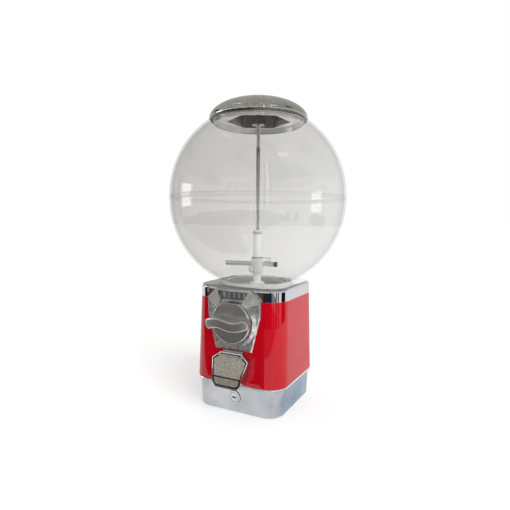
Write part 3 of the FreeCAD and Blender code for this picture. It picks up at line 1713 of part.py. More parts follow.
doc.recompute()
for item in doc.Objects:
    if "Invalid" in item.State or "Error" in item.State:
        raise RuntimeError(f"{item.Name} did not build: {item.State}")
os.makedirs("parts", exist_ok=True)
for piece in PIECES:
    shape = piece.Shape
    if shape.isNull() or not shape.isValid() or not shape.Solids:
        raise RuntimeError(f"{piece.Label} has no valid solid")
    shape.exportStep(f"parts/{piece.Label}.step")
    print(f"{piece.Label}: {len(shape.Solids)} solid(s), {shape.Volume:.1f} mm3")
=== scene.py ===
"""Looks of a countertop gumball machine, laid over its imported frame."""
import json
import logging
import math
from dataclasses import dataclass, field
from enum import Enum
from typing import Any, Callable, Dict, List, Optional, Sequence, Tuple, Union

import bpy
from mathutils import Matrix, Vector


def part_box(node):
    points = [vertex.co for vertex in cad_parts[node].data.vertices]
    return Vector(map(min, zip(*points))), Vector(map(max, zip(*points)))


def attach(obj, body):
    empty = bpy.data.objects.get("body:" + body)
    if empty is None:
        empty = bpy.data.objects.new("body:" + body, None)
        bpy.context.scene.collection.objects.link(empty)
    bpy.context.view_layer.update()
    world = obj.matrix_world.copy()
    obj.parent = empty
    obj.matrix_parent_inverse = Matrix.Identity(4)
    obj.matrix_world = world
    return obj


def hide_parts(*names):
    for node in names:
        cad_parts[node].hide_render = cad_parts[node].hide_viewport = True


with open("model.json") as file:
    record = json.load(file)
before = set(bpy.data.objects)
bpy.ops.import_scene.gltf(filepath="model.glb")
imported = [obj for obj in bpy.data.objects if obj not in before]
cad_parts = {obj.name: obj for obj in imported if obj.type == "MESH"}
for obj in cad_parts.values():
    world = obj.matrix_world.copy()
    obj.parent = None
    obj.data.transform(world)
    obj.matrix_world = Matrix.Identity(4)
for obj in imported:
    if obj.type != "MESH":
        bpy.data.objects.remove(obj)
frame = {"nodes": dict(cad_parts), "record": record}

LOG = logging.getLogger("gumball_machine")
MM = 0.001
# Merging distances are in millimetres, and the angle is in degrees
SPIN_MERGE = 0.002
COPY_MERGE = 0.003
FLAT_ANGLE = 0.6
NORMAL_WEIGHT = 60
NOISE_ROUGHNESS = 0.55
DIMPLE_SMOOTHNESS = 0.8
WHITE = (1.0, 1.0, 1.0)

Point = Tuple[float, float]
Way = Tuple[float, float, float]
Colour = Tuple[float, float, float]
Piece = bpy.types.Object


class Element(Enum):
    """What a selection is made of."""

    VERT = "vertices"
    EDGE = "edges"


class Ray(Enum):
    """A kind of ray, with the output that tells it."""

    CAMERA = "Is Camera Ray"
    DIFFUSE = "Is Diffuse Ray"
    GLOSSY = "Is Glossy Ray"
    SHADOW = "Is Shadow Ray"
    TRANSMISSION = "Is Transmission Ray"


@dataclass(frozen=True)
class Noise:
    """Soft noise over a surface.

    Attributes:
        scale: its number of waves in a metre.
        detail: its octaves.
        low: the strength that becomes zero.
        high: the strength that becomes one.
    """

    scale: float
    detail: float = 2.0
    low: float = 0.0
    high: float = 1.0


@dataclass(frozen=True)
class Relief:
    """The height of a fine texture.

    Attributes:
        strength: how much of it shows.
        depth: the height of one, in millimetres.
    """

    strength: float
    depth: float


class Wire:
    """A node's output that takes part in arithmetic."""

    def __init__(self, sheet: "Sheet", socket: bpy.types.NodeSocket) -> None:
        """Keeps the socket and the sheet that it is on."""
        self.sheet = sheet
        self.socket = socket

    def _math(self, operation: str, first: "Value", second: "Value") -> "Wire":
        """Adds one Math node.

        Args:
            operation: what the node does.
            first: its first operand.
            second: its second operand.

        Returns:
            The node's result.
        """
        return self.sheet.node("ShaderNodeMath", {"operation": operation}, {0: first, 1: second})

    def __add__(self, other: "Value") -> "Wire":
        """Adds."""
        return self._math("ADD", self, other)

    def __radd__(self, other: "Value") -> "Wire":
        """Adds, with the number first."""
        return self._math("ADD", other, self)

    def __sub__(self, other: "Value") -> "Wire":
        """Subtracts."""
        return self._math("SUBTRACT", self, other)

    def __rsub__(self, other: "Value") -> "Wire":
        """Subtracts from a number."""
        return self._math("SUBTRACT", other, self)

    def __mul__(self, other: "Value") -> "Wire":
        """Multiplies."""
        return self._math("MULTIPLY", self, other)

    def __rmul__(self, other: "Value") -> "Wire":
        """Multiplies, with the number first."""
        return self._math("MULTIPLY", other, self)

    def __pow__(self, other: "Value") -> "Wire":
        """Raises to a power."""
        return self._math("POWER", self, other)

    def above(self, edge: float) -> "Wire":
        """Gives one where the value passes an edge, and zero elsewhere."""
        return self._math("GREATER_THAN", self, edge)

    def within(self, low: float, high: float) -> "Wire":
        """Spreads low to high over zero to one.

        Args:
            low: the value that becomes zero.
            high: the value that becomes one.

        Returns:
            The spread value, held between zero and one.
        """
        return self.sheet.node("ShaderNodeMapRange", {"clamp": True},
                               {"Value": self, "From Min": low, "From Max": high})


Value = Union[float, Wire]


class Sheet:
    """The node sheet of one material or of the world."""

    def __init__(self, tree: bpy.types.NodeTree) -> None:
        """Takes a node tree and empties it."""
        self.tree = tree
        self.tree.nodes.clear()

    def node(self, kind: str, settings: Optional[Dict[str, Any]] = None,
             sockets: Optional[Dict[Union[int, str], Any]] = None,
             output: Union[int, str] = 0) -> Optional[Wire]:
        """Adds a node.

        Args:
            kind: the node's type.
            settings: its settings, which are set first.
            sockets: the values or wires of its sockets.
            output: the output that is wanted.

        Returns:
            That output, or nothing from a node that has none.
        """
        made = self.tree.nodes.new(kind)
        for key, value in (settings or {}).items():
            setattr(made, key, value)
        for key, value in (sockets or {}).items():
            target = made.inputs[key]
            if isinstance(value, Wire):
                self.tree.links.new(value.socket, target)
            elif target.type == "RGBA":
                target.default_value = (*value[:3], 1.0)
            else:
                target.default_value = value
        return Wire(self, made.outputs[output]) if len(made.outputs) else None

    def place(self) -> Wire:
        """Gives the place on the piece, in metres."""
        return self.node("ShaderNodeTexCoord", output="Object")

    def axis(self, place: Wire, letter: str) -> Wire:
        """Gives one coordinate of a place."""
        return self.node("ShaderNodeSeparateXYZ", sockets={"Vector": place}, output=letter)

    def stretched(self, place: Wire, scale: Way) -> Wire:
        """Scales a place along the three axes."""
        return self.node("ShaderNodeMapping", sockets={"Vector": place, "Scale": scale})

    def noise(self, place: Wire, noise: Noise) -> Wire:
        """Gives soft noise.

        Args:
            place: where the noise is read.
            noise: its scale, octaves and spread.

        Returns:
            The noise, from zero to one.
        """
        sockets = {"Vector": place, "Scale": noise.scale, "Detail": noise.detail,
                   "Roughness": NOISE_ROUGHNESS}
        made = self.node("ShaderNodeTexNoise", sockets=sockets)
        whole = (noise.low, noise.high) == (0.0, 1.0)
        return made if whole else made.within(noise.low, noise.high)

    def dimples(self, place: Wire, scale: float) -> Wire:
        """Gives round dimples, with a given number in a metre."""
        sockets = {"Vector": place, "Scale": scale, "Smoothness": DIMPLE_SMOOTHNESS}
        return self.node("ShaderNodeTexVoronoi", {"feature": "SMOOTH_F1"}, sockets)

    def mix(self, share: Value, first: Any, second: Any) -> Wire:
        """Mixes two colours.

        Args:
            share: how much of the second there is.
            first: the colour at zero.
            second: the colour at one.

        Returns:
            The mixed colour.
        """
        sockets = {0: share, 6: first, 7: second}
        return self.node("ShaderNodeMix", {"data_type": "RGBA"}, sockets, 2)

    def bump(self, height: Wire, relief: Relief, under: Optional[Wire] = None) -> Wire:
        """Turns a height into a normal.

        Args:
            height: the height, from zero to one.
            relief: how much of it shows, and how high it is.
            under: a normal that it is added to.

        Returns:
            The bent normal.
        """
        sockets = {"Height": height, "Strength": relief.strength, "Distance": relief.depth * MM}
        if under is not None:
            sockets["Normal"] = under
        return self.node("ShaderNodeBump", sockets=sockets)

    def surface(self, **sockets: Any) -> Wire:
        """Adds the main shader, with socket names written with underscores."""
        named = {key.replace("_", " "): value for key, value in sockets.items()}
        return self.node("ShaderNodeBsdfPrincipled", sockets=named)

    def blend(self, share: Value, first: Wire, second: Wire) -> Wire:
        """Mixes two shaders.

        Args:
            share: how much of the second there is.
            first: the shader at zero.
            second: the shader at one.

        Returns:
            The mixed shader.
        """
        return self.node("ShaderNodeMixShader", sockets={0: share, 1: first, 2: second})

    def ray(self, *kinds: Ray) -> Wire:
        """Gives one to rays of the named kinds, and zero to other rays."""
        first, *others = (self.node("ShaderNodeLightPath", output=kind.value) for kind in kinds)
        return sum(others, first).above(0.5)

    def seen(self) -> Wire:
        """Gives one to the camera, mirrors and clear pieces, and zero to other rays."""
        return self.ray(Ray.CAMERA, Ray.GLOSSY, Ray.TRANSMISSION)

    def facing(self) -> Wire:
        """Gives zero where a surface is seen head-on, and one at its outline."""
        return self.node("ShaderNodeLayerWeight", sockets={"Blend": 0.5}, output="Facing")

    def glow(self, light: Colour, strength: float = 1.0) -> Wire:
        """Gives a shader that shines evenly."""
        return self.node("ShaderNodeEmission", sockets={"Color": light, "Strength": strength})

    def clear(self, tint: Colour) -> Wire:
        """Gives a shader that light passes straight, tinted."""
        return self.node("ShaderNodeBsdfTransparent", sockets={"Color": tint})


def new_material(name: str, draw: Callable[[Sheet], Wire]) -> bpy.types.Material:
    """Makes a material.

    Args:
        name: its name.
        draw: draws its shader on a sheet.

    Returns:
        The material.
    """
    made = bpy.data.materials.new(name)
    made.use_nodes = True
    sheet = Sheet(made.node_tree)
    sheet.node("ShaderNodeOutputMaterial", sockets={"Surface": draw(sheet)})
    return made


@dataclass(frozen=True)
class Finish:
    """A finish in two tones that is laid on pieces; each kind says how it is shaded."""

    name: str
    bright: Colour = WHITE
    dull: Colour = WHITE
    polish: float = 0.3

    def material(self) -> bpy.types.Material:
        """Gives the material, made on first use."""
        return bpy.data.materials.get(self.name) or new_material(self.name, self.shade)

    def skin(self, sheet: Sheet, tone: Wire, film: Wire, normal: Wire, **sockets: Any) -> Wire:
        """Draws the main shader in the finish's two tones.

        Args:
            sheet: the node sheet that it is drawn on.
            tone: zero where the bright tone shows, and one where the dull one does.
            film: what the surface is rougher by than its polish.
            normal: the normal.
            sockets: the shader's other sockets, written with underscores.

        Returns:
            The shader.
        """
        return sheet.surface(Base_Color=sheet.mix(tone, self.bright, self.dull),
                             Roughness=self.polish + film, Normal=normal, **sockets)

    def shade(self, sheet: Sheet) -> Wire:
        """Draws the finish.

        Args:
            sheet: the node sheet that it is drawn on.

        Returns:
            The shader.
        """
        raise NotImplementedError

    def lay(self, piece: Piece) -> None:
        """Lays the finish on the whole of a piece.

        Args:
            piece: the piece.
        """
        piece.data.materials.clear()
        piece.data.materials.append(self.material())
        LOG.info("%s: %s", piece.name, self.name)


@dataclass(frozen=True)
class Plating(Finish):
    """Polished plating with faint waves, a thin film of handling and small pits."""

    bright: Colour = (0.56, 0.57, 0.59)
    dull: Colour = (0.47, 0.48, 0.50)
    polish: float = 0.05
    film: float = 0.10
    smear: Noise = Noise(26.0, 5.0, 0.35, 0.75)
    grain: Noise = Noise(900.0)
    wave_scale: float = 34.0
    wave_detail: float = 1.5
    wave_strength: float = 0.5
    wave_depth: float = 0.10
    pits: float = 0.0
    pit_scale: float = 620.0
    pit_spread: Point = (0.38, 0.62)
    pit_depth: float = 0.12
    pit_share: float = 0.65

    def shade(self, sheet: Sheet) -> Wire:
        """Draws the plating.

        Args:
            sheet: the node sheet that it is drawn on.

        Returns:
            The shader.
        """
        place = sheet.place()
        smear = sheet.noise(place, self.smear)
        grain = sheet.noise(place, self.grain)
        tone = smear
        waves = sheet.noise(place, Noise(self.wave_scale, self.wave_detail))
        normal = sheet.bump(waves, Relief(self.wave_strength, self.wave_depth))
        if self.pits:
            speck = sheet.noise(place, Noise(self.pit_scale))
            spots = speck.within(*self.pit_spread)
            tone = (1.0 - self.pit_share) * smear + self.pit_share * spots
            normal = sheet.bump(speck, Relief(self.pits, self.pit_depth), normal)
        return self.skin(sheet, tone, self.film * (smear * grain), normal, Metallic=1.0)


@dataclass(frozen=True)
class Casting(Finish):
    """Plated zinc casting with a pebbled skin, uneven in tone."""

    bright: Colour = (0.50, 0.51, 0.52)
    dull: Colour = (0.33, 0.33, 0.33)
    polish: float = 0.24
    film: float = 0.16
    fine: Noise = Noise(1400.0)
    pebbles: float = 700.0
    pebble_strength: float = 0.55
    depth: float = 0.10
    hammer: float = 0.35
    hammer_scale: float = 210.0
    hammer_detail: float = 3.0
    hammer_depth: float = 0.20
    patches: float = 75.0
    patch_detail: float = 4.0
    patch_spread: Point = (0.3, 0.7)
    patch_film: float = 0.06

    def shade(self, sheet: Sheet) -> Wire:
        """Draws the casting.

        Args:
            sheet: the node sheet that it is drawn on.

        Returns:
            The shader.
        """
        place = sheet.place()
        tone = sheet.noise(place, Noise(self.patches, self.patch_detail, *self.patch_spread))
        film = self.film * sheet.noise(place, self.fine) + self.patch_film * tone
        pebbles = sheet.dimples(place, self.pebbles)
        blows = sheet.noise(place, Noise(self.hammer_scale, self.hammer_detail))
        skin = sheet.bump(pebbles, Relief(self.pebble_strength, self.depth))
        skin = sheet.bump(blows, Relief(self.hammer, self.hammer_depth), skin)
        return self.skin(sheet, tone, film, skin, Metallic=1.0)


@dataclass(frozen=True)
class Lacquer(Finish):
    """Gloss paint under a clear coat, with a slight orange peel."""

    bright: Colour = (0.54, 0.001, 0.011)
    dull: Colour = (0.47, 0.001, 0.008)
    polish: float = 0.40
    coat: float = 0.8
    coat_polish: float = 0.03
    wear: float = 0.12
    cloud: Noise = Noise(14.0, 4.0, 0.3, 0.7)
    peel: Noise = Noise(260.0, 1.0)
    peel_relief: Relief = Relief(0.25, 0.02)
    sag: Noise = Noise(22.0, 1.0)
    sag_relief: Relief = Relief(0.3, 0.10)
    scuff: Noise = Noise(60.0, 5.0, 0.45, 0.8)

    def shade(self, sheet: Sheet) -> Wire:
        """Draws the paint.

        Args:
            sheet: the node sheet that it is drawn on.

        Returns:
            The shader.
        """
        place = sheet.place()
        cloud = sheet.noise(place, self.cloud)
        skin = sheet.bump(sheet.noise(place, self.peel), self.peel_relief)
        skin = sheet.bump(sheet.noise(place, self.sag), self.sag_relief, skin)
        wear = self.wear * sheet.noise(place, self.scuff)
        return self.skin(sheet, cloud, wear, skin, Specular_IOR_Level=0.0,
                         Coat_Weight=self.coat - wear, Coat_Roughness=self.coat_polish)


@dataclass(frozen=True)
class ClearShell(Finish):
    """Clear moulded plastic: tinted light passes, the edge mirrors, and a painted shade darkens
    the tint towards one side.
    """

    bright: Colour = (0.78, 0.78, 0.77)
    dull: Colour = (0.58, 0.58, 0.57)
    polish: float = 0.02
    tint: Colour = (0.948, 0.948, 0.946)
    # Painted shade: the tint is darker towards one side of the globe, along a fixed way through
    # its middle
    painted_shade_tint: Colour = (0.872, 0.868, 0.858)
    painted_shade_tint_way: Way = (0.72, 0.37, -0.45)
    painted_shade_tint_middle: float = 0.269
    painted_shade_tint_spread: float = 0.09
    mirror: float = 0.045
    edge: float = 0.17
    edge_power: float = 9.0
    edge_tone: Colour = (0.30, 0.30, 0.29)
    haze: float = 0.015
    haze_stretch: Way = (1.0, 1.0, 0.25)
    haze_noise: Noise = Noise(30.0, 4.0, 0.4, 0.8)
    flow: Noise = Noise(16.0)
    flow_relief: Relief = Relief(0.4, 0.25)
    film: float = 0.05
    lit_tint: Colour = (0.98, 0.98, 0.975)

    def shade(self, sheet: Sheet) -> Wire:
        """Draws the clear plastic, which shadow and diffuse rays pass.

        Args:
            sheet: the node sheet that it is drawn on.

        Returns:
            The shader.
        """
        place = sheet.place()
        haze = sheet.noise(sheet.stretched(place, self.haze_stretch), self.haze_noise)
        # Painted shade: the tint passes from the darker one to the plain one across the globe, by
        # place on it
        wide, deep, up = (sheet.axis(place, letter) for letter in "XYZ")
        way = self.painted_shade_tint_way
        side = way[0] * wide + way[1] * deep + way[2] * (up - self.painted_shade_tint_middle)
        pale = side.within(-self.painted_shade_tint_spread, self.painted_shade_tint_spread)
        through = sheet.blend(pale, sheet.clear(self.painted_shade_tint), sheet.clear(self.tint))
        flow = sheet.bump(sheet.noise(place, self.flow), self.flow_relief)
        skin = self.skin(sheet, haze, self.film * haze, flow, Metallic=1.0,
                         Specular_Tint=self.edge_tone)
        mirror = self.mirror + self.haze * haze + self.edge * sheet.facing() ** self.edge_power
        shell = sheet.blend(mirror, through, skin)
        unseen = sheet.ray(Ray.SHADOW, Ray.DIFFUSE)
        return sheet.blend(unseen, shell, sheet.clear(self.lit_tint))


@dataclass(frozen=True)
class CloudyPlastic(Finish):
    """Milky clear plastic with flow lines along its length."""

    bright: Colour = (0.93, 0.96, 0.94)
    dull: Colour = (0.84, 0.88, 0.86)
    polish: float = 0.35
    body: float = 0.6
    edge: float = 0.3
    film: float = 0.1
    tint: Colour = (0.95, 0.97, 0.96)
    flow_stretch: Way = (1.0, 1.0, 0.12)
    flow: Noise = Noise(240.0, 3.0, 0.3, 0.7)
    flow_relief: Relief = Relief(0.2, 0.1)

    def shade(self, sheet: Sheet) -> Wire:
        """Draws the milky plastic.

        Args:
            sheet: the node sheet that it is drawn on.

        Returns:
            The shader.
        """
        flow = sheet.noise(sheet.stretched(sheet.place(), self.flow_stretch), self.flow)
        milk = self.skin(sheet, flow, self.film * flow, sheet.bump(flow, self.flow_relief))
        return sheet.blend(self.body + self.edge * sheet.facing(), sheet.clear(self.tint), milk)


@dataclass(frozen=True)
class BarSteel(Finish):
    """Drawn or turned steel with fine streaks along one axis."""

    bright: Colour = (0.58, 0.60, 0.62)
    dull: Colour = (0.40, 0.41, 0.42)
    polish: float = 0.22
    along: Way = (0.06, 1.0, 1.0)
    film: float = 0.14
    streak: Noise = Noise(1500.0, 3.0, 0.3, 0.7)
    streak_relief: Relief = Relief(0.15, 0.05)
    streak_share: float = 0.5
    stain: Noise = Noise(110.0, 4.0, 0.4, 0.75)

    def shade(self, sheet: Sheet) -> Wire:
        """Draws the steel.

        Args:
            sheet: the node sheet that it is drawn on.

        Returns:
            The shader.
        """
        place = sheet.place()
        streak = sheet.noise(sheet.stretched(place, self.along), self.streak)
        stain = sheet.noise(place, self.stain)
        tone = self.streak_share * streak + (1.0 - self.streak_share) * stain
        normal = sheet.bump(streak, self.streak_relief)
        return self.skin(sheet, tone, self.film * streak, normal, Metallic=1.0)


@dataclass(frozen=True)
class Moulding(Finish):
    """Moulded plastic or rubber with a fine texture."""

    bright: Colour = (0.80, 0.80, 0.78)
    dull: Colour = (0.70, 0.70, 0.67)
    polish: float = 0.42
    film: float = 0.16
    patch: Noise = Noise(55.0, 4.0, 0.3, 0.7)
    grain: Noise = Noise(800.0)
    grain_relief: Relief = Relief(0.25, 0.06)

    def shade(self, sheet: Sheet) -> Wire:
        """Draws the moulding.

        Args:
            sheet: the node sheet that it is drawn on.

        Returns:
            The shader.
        """
        place = sheet.place()
        patch = sheet.noise(place, self.patch)
        grain = sheet.noise(place, self.grain)
        normal = sheet.bump(grain, self.grain_relief)
        return self.skin(sheet, patch, self.film * grain, normal)


class Bench:
    """Hand tools for modelling; lengths are in millimetres."""

    def put_down(self) -> None:
        """Leaves edit mode and deselects everything."""
        if bpy.context.object and bpy.context.object.mode != "OBJECT":
            bpy.ops.object.mode_set(mode="OBJECT")
        bpy.ops.object.select_all(action="DESELECT")
        bpy.context.view_layer.objects.active = None

    def pick_up(self, piece: Piece) -> None:
        """Selects one piece and makes it active.

        Args:
            piece: the piece.
        """
        self.put_down()
        piece.select_set(True)
        bpy.context.view_layer.objects.active = piece

    def open(self, piece: Piece, element: Element = Element.VERT) -> None:
        """Goes into edit mode with the whole of a piece selected.

        Args:
            piece: the piece.
            element: what selections are made of.
        """
        self.pick_up(piece)
        bpy.ops.object.mode_set(mode="EDIT")
        bpy.ops.mesh.select_mode(type=element.name)
        bpy.ops.mesh.select_all(action="SELECT")

    def close(self) -> None:
        """Leaves edit mode."""
        bpy.ops.object.mode_set(mode="OBJECT")

    def choose(self, piece: Piece, element: Element,
               test: Callable[[List[Vector]], bool]) -> None:
        """Opens a piece with only the elements selected that pass a test.

        Args:
            piece: the piece.
            element: what is tested.
            test: takes one element's corners, in millimetres, and says if it is wanted.
        """
        self.open(piece, element)
        bpy.ops.mesh.select_all(action="DESELECT")
        self.close()
        corners = [vertex.co / MM for vertex in piece.data.vertices]
        for one in getattr(piece.data, element.value):
            one.select = test([corners[index] for index in one.vertices])
        bpy.ops.object.mode_set(mode="EDIT")

    def chain(self, name: str, points: Sequence[Vector]) -> Piece:
        """Draws a chain of points.

        Args:
            name: the new piece's name.
            points: the points.

        Returns:
            The new piece.
        """
        self.put_down()
        bpy.ops.mesh.primitive_plane_add(size=MM)
        piece = bpy.context.object
        piece.name = name
        piece.data.name = name
        self.open(piece)
        bpy.ops.mesh.merge(type="CENTER")
        here = points[0]
        bpy.ops.transform.translate(value=here * MM)
        for there in points[1:]:
            step = {"value": (there - here) * MM}
            bpy.ops.mesh.extrude_vertices_move(TRANSFORM_OT_translate=step)
            here = there
        self.close()
        return piece

    def turn(self, name: str, points: Sequence[Point], steps: int,
             along: Way = (0.0, 0.0, 1.0), across: Way = (1.0, 0.0, 0.0),
             centre: Way = (0.0, 0.0, 0.0)) -> Piece:
        """Turns a closed outline about an axis.

        Args:
            name: the new piece's name.
            points: distance from the axis and place along it of each corner, each once.
            steps: the number of steps round.
            along: the axis.
            across: a direction square to the axis.
            centre: a point on the axis, from which places along it count.

        Returns:
            The new piece.
        """
        corners = [Vector(centre) + Vector(across) * far + Vector(along) * up
                   for far, up in [*points, points[0]]]
        piece = self.chain(name, corners)
        self.open(piece)
        bpy.ops.mesh.spin(steps=steps, angle=2 * math.pi, center=Vector(centre) * MM, axis=along)
        bpy.ops.mesh.select_all(action="SELECT")
        bpy.ops.mesh.remove_doubles(threshold=SPIN_MERGE * MM)
        bpy.ops.mesh.normals_make_consistent(inside=False)
        self.close()
        return piece

    def modify(self, piece: Piece, kind: str, **settings: Any) -> None:
        """Adds a modifier, sets it and applies it.

        Args:
            piece: the piece.
            kind: the modifier's type.
            settings: its settings.
        """
        self.pick_up(piece)
        modifier = piece.modifiers.new(kind.lower(), kind)
        for key, value in settings.items():
            setattr(modifier, key, value)
        bpy.ops.object.modifier_apply(modifier=modifier.name)

    def bevel(self, piece: Piece, width: float, degrees: float, segments: int = 2,
              **settings: Any) -> None:
        """Rounds off a piece's sharp edges.

        Args:
            piece: the piece.
            width: the width of the rounding.
            degrees: the angle of the flattest edge that is rounded.
            segments: the number of faces across the rounding.
            settings: the modifier's other settings.
        """
        self.modify(piece, "BEVEL", width=width * MM, segments=segments, limit_method="ANGLE",
                    angle_limit=math.radians(degrees), **settings)

    def smooth(self, piece: Piece, degrees: float = 35.0) -> None:
        """Shades a piece smooth, apart from edges sharper than an angle."""
        self.pick_up(piece)
        bpy.ops.object.shade_smooth_by_angle(angle=math.radians(degrees))

    def copy(self, name: str, source: Piece) -> Piece:
        """Makes a merged copy of a solid, with its flat faces whole.

        Args:
            name: the new piece's name.
            source: the solid.

        Returns:
            The new piece.
        """
        piece = bpy.data.objects.new(name, source.data.copy())
        piece.data.name = name
        bpy.context.scene.collection.objects.link(piece)
        self.open(piece)
        bpy.ops.mesh.customdata_custom_splitnormals_clear()
        bpy.ops.mesh.remove_doubles(threshold=COPY_MERGE * MM)
        bpy.ops.mesh.dissolve_limited(angle_limit=math.radians(FLAT_ANGLE))
        self.close()
        return piece

    def ease(self, piece: Piece, round_off: float, degrees: float) -> None:
        """Rounds off a piece's sharp edges and shades it smooth.

        Args:
            piece: the piece; a second material on it goes to the rounded edges.
            round_off: the width of the rounding.
            degrees: the angle of the flattest edge that is rounded.
        """
        if round_off:
            self.bevel(piece, round_off, degrees, use_clamp_overlap=True,
                       miter_outer="MITER_ARC", material=len(piece.data.materials) - 1)
        self.smooth(piece)
        self.modify(piece, "WEIGHTED_NORMAL", keep_sharp=True, weight=NORMAL_WEIGHT)


def spread(first: float, last: float, steps: int) -> List[float]:
    """Gives values in even steps, from the first to the last."""
    return [first + (last - first) * step / steps for step in range(steps + 1)]


@dataclass
class Assembly:
    """Pieces that are built and dressed together; sizes are in millimetres and degrees."""

    bench: Bench
    nodes: Dict[str, Piece]
    record: Dict[str, Any]
    made: List[Piece] = field(default_factory=list)

    def seat(self, piece: Piece, node: str, *more: str) -> Piece:
        """Puts a piece in the place of CAD nodes.

        Args:
            piece: the piece.
            node: the node whose body it takes.
            more: other nodes that it stands for.

        Returns:
            The piece.
        """
        self.carry(piece, node)
        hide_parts(node, *more)
        return piece

    def carry(self, piece: Piece, node: str) -> None:
        """Lets a piece ride on the body of a node.

        Args:
            piece: the piece.
            node: the node that carries it.
        """
        groups = self.record["behaviour"]["bodies"]
        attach(piece, next(body for body, members in groups.items() if node in members))
        next(part["material_slot"] for part in self.record["subparts"]
                            if part["node"] == node)
        self.made.append(piece)

    def recast(self, finish: Finish, node: str, round_off: float, rim: Optional[Finish] = None,
               shape: Optional[Callable[[Piece], None]] = None, sharp: float = 28.0) -> Piece:
        """Replaces a node by a finer copy.

        Args:
            finish: its finish.
            node: the node.
            round_off: how far its edges are rounded off.
            rim: the finish of its rounded edges, where that is another.
            shape: what is done to the copy before its edges are rounded.
            sharp: the angle of the flattest edge that is rounded, in degrees.

        Returns:
            The copy.
        """
        piece = self.bench.copy(f"{node}_fine", self.nodes[node])
        finish.lay(piece)
        if rim:
            piece.data.materials.append(rim.material())
        if shape:
            shape(piece)
        self.bench.ease(piece, round_off, sharp)
        return self.seat(piece, node)

    def paint(self, piece: Piece, finish: Finish, test: Callable[[Vector, Vector], bool]) -> None:
        """Lays another finish on those faces of a piece's first finish that pass a test.

        Args:
            piece: the piece.
            finish: the other finish.
            test: takes a face's middle, in millimetres, and its normal.
        """
        piece.data.materials.append(finish.material())
        for face in piece.data.polygons:
            if face.material_index == 0 and test(face.center / MM, face.normal):
                face.material_index = len(piece.data.materials) - 1

    def dress(self, finish: Finish, *nodes: str) -> None:
        """Lays a finish on nodes that stay as they are."""
        for node in nodes:
            finish.lay(self.nodes[node])

    def build(self) -> None:
        """Builds and dresses the assembly."""
        raise NotImplementedError


BASE_PLATING = Plating("base_plating", bright=(0.58, 0.60, 0.62), dull=(0.37, 0.39, 0.42),
                       polish=0.13, film=0.16, wave_scale=26.0, wave_depth=1.2)
# Painted highlight: the upper half of the ledge's round nose is laid brighter, as where light from
# above catches it
LEDGE_HIGHLIGHT_PLATING = Plating("ledge_plating", bright=(0.92, 0.91, 0.91), dull=(0.82, 0.81, 0.81),
                        polish=0.14)
BAND_PLATING = Plating("band_plating", polish=0.03, film=0.05, wave_depth=0.06)
LID_PLATING = Plating("lid_plating", bright=(0.66, 0.66, 0.62), dull=(0.32, 0.32, 0.29),
                      polish=0.06, film=0.14, wave_scale=60.0, wave_depth=0.40, pits=0.22,
                      pit_scale=620.0)
LINER_PLATING = Plating("liner_plating", bright=(0.78, 0.78, 0.75), dull=(0.54, 0.54, 0.51),
                        polish=0.14, film=0.2, wave_scale=50.0, wave_depth=0.25)
# Painted shade: a dark plating laid where shade falls, in the lid's hollow, under the dome's rim,
# on the lid's lock barrel and round the base lock's rim
PAINTED_SHADE_PLATING = Plating("hollow_plating", bright=(0.24, 0.235, 0.22), dull=(0.15, 0.145, 0.135),
                         polish=0.2, film=0.2)
# Painted highlight: a bright plating laid on rounded edges, front rims and the casting's mouth,
# where light catches
EDGE_HIGHLIGHT_PLATING = Plating("edge_plating", bright=(0.86, 0.86, 0.85), dull=(0.76, 0.76, 0.75),
                       polish=0.16)
LOCK_PLATING = Plating("lock_plating", bright=(0.62, 0.63, 0.64), dull=(0.52, 0.53, 0.54),
                       polish=0.10, film=0.12)
FRAME_PLATING = Plating("door_frame_plating", bright=(0.60, 0.59, 0.58), dull=(0.48, 0.47, 0.46),
                        polish=0.08)
RED_LACQUER = Lacquer("red_lacquer")
HOUSING_CASTING = Casting("housing_casting", bright=(0.94, 0.95, 0.96), dull=(0.36, 0.36, 0.35),
                          polish=0.27, film=0.14, pebbles=520.0, depth=0.14, patches=190.0,
                          hammer=1.0, hammer_scale=300.0)
# Painted shade: the housing's upper sloping facets are laid in a darker copy of the housing's
# casting
FACET_SHADE_CASTING = Casting("facet_casting", bright=(0.43, 0.42, 0.40), dull=(0.26, 0.25, 0.24),
                        polish=0.18, film=0.14, pebbles=520.0, depth=0.10, hammer=0.6)
GUIDE_CASTING = Casting("guide_casting", bright=(0.80, 0.79, 0.77), dull=(0.62, 0.61, 0.60),
                        polish=0.30)
# Painted shade: the recessed ground between the coin guide's ribs is laid darker, and the ribs
# keep the brighter guide casting
FUNNEL_SHADE_CASTING = Casting("funnel_casting", bright=(0.36, 0.355, 0.345), dull=(0.20, 0.20, 0.195),
                         polish=0.34)
KNOB_CASTING = Casting("knob_casting", bright=(0.56, 0.55, 0.54), dull=(0.42, 0.42, 0.41),
                       polish=0.27, film=0.12)
DOOR_CASTING = Casting("door_casting", bright=(0.60, 0.565, 0.50), dull=(0.34, 0.315, 0.27),
                       polish=0.36, pebbles=480.0, depth=0.22, patches=430.0, hammer=0.7)
GLOBE_CLEAR = ClearShell("globe_clear_plastic")
LAP_CLEAR = ClearShell("globe_lap_plastic", tint=(0.985, 0.985, 0.98), painted_shade_tint=(0.98, 0.98, 0.975),
                       mirror=0.012, edge=0.06, haze=0.004)
SLEEVE_MILKY = CloudyPlastic("sleeve_milky_plastic", bright=(0.97, 0.98, 0.96),
                             dull=(0.92, 0.94, 0.92), body=0.90, edge=0.1)
HUB_MILKY = CloudyPlastic("hub_milky_plastic", bright=(0.93, 0.94, 0.92), dull=(0.84, 0.86, 0.84),
                          body=0.62, edge=0.35, polish=0.18)
SEAL_MILKY = CloudyPlastic("seal_milky_rubber", bright=(0.96, 0.97, 0.95), dull=(0.88, 0.89, 0.87),
                           body=0.7)
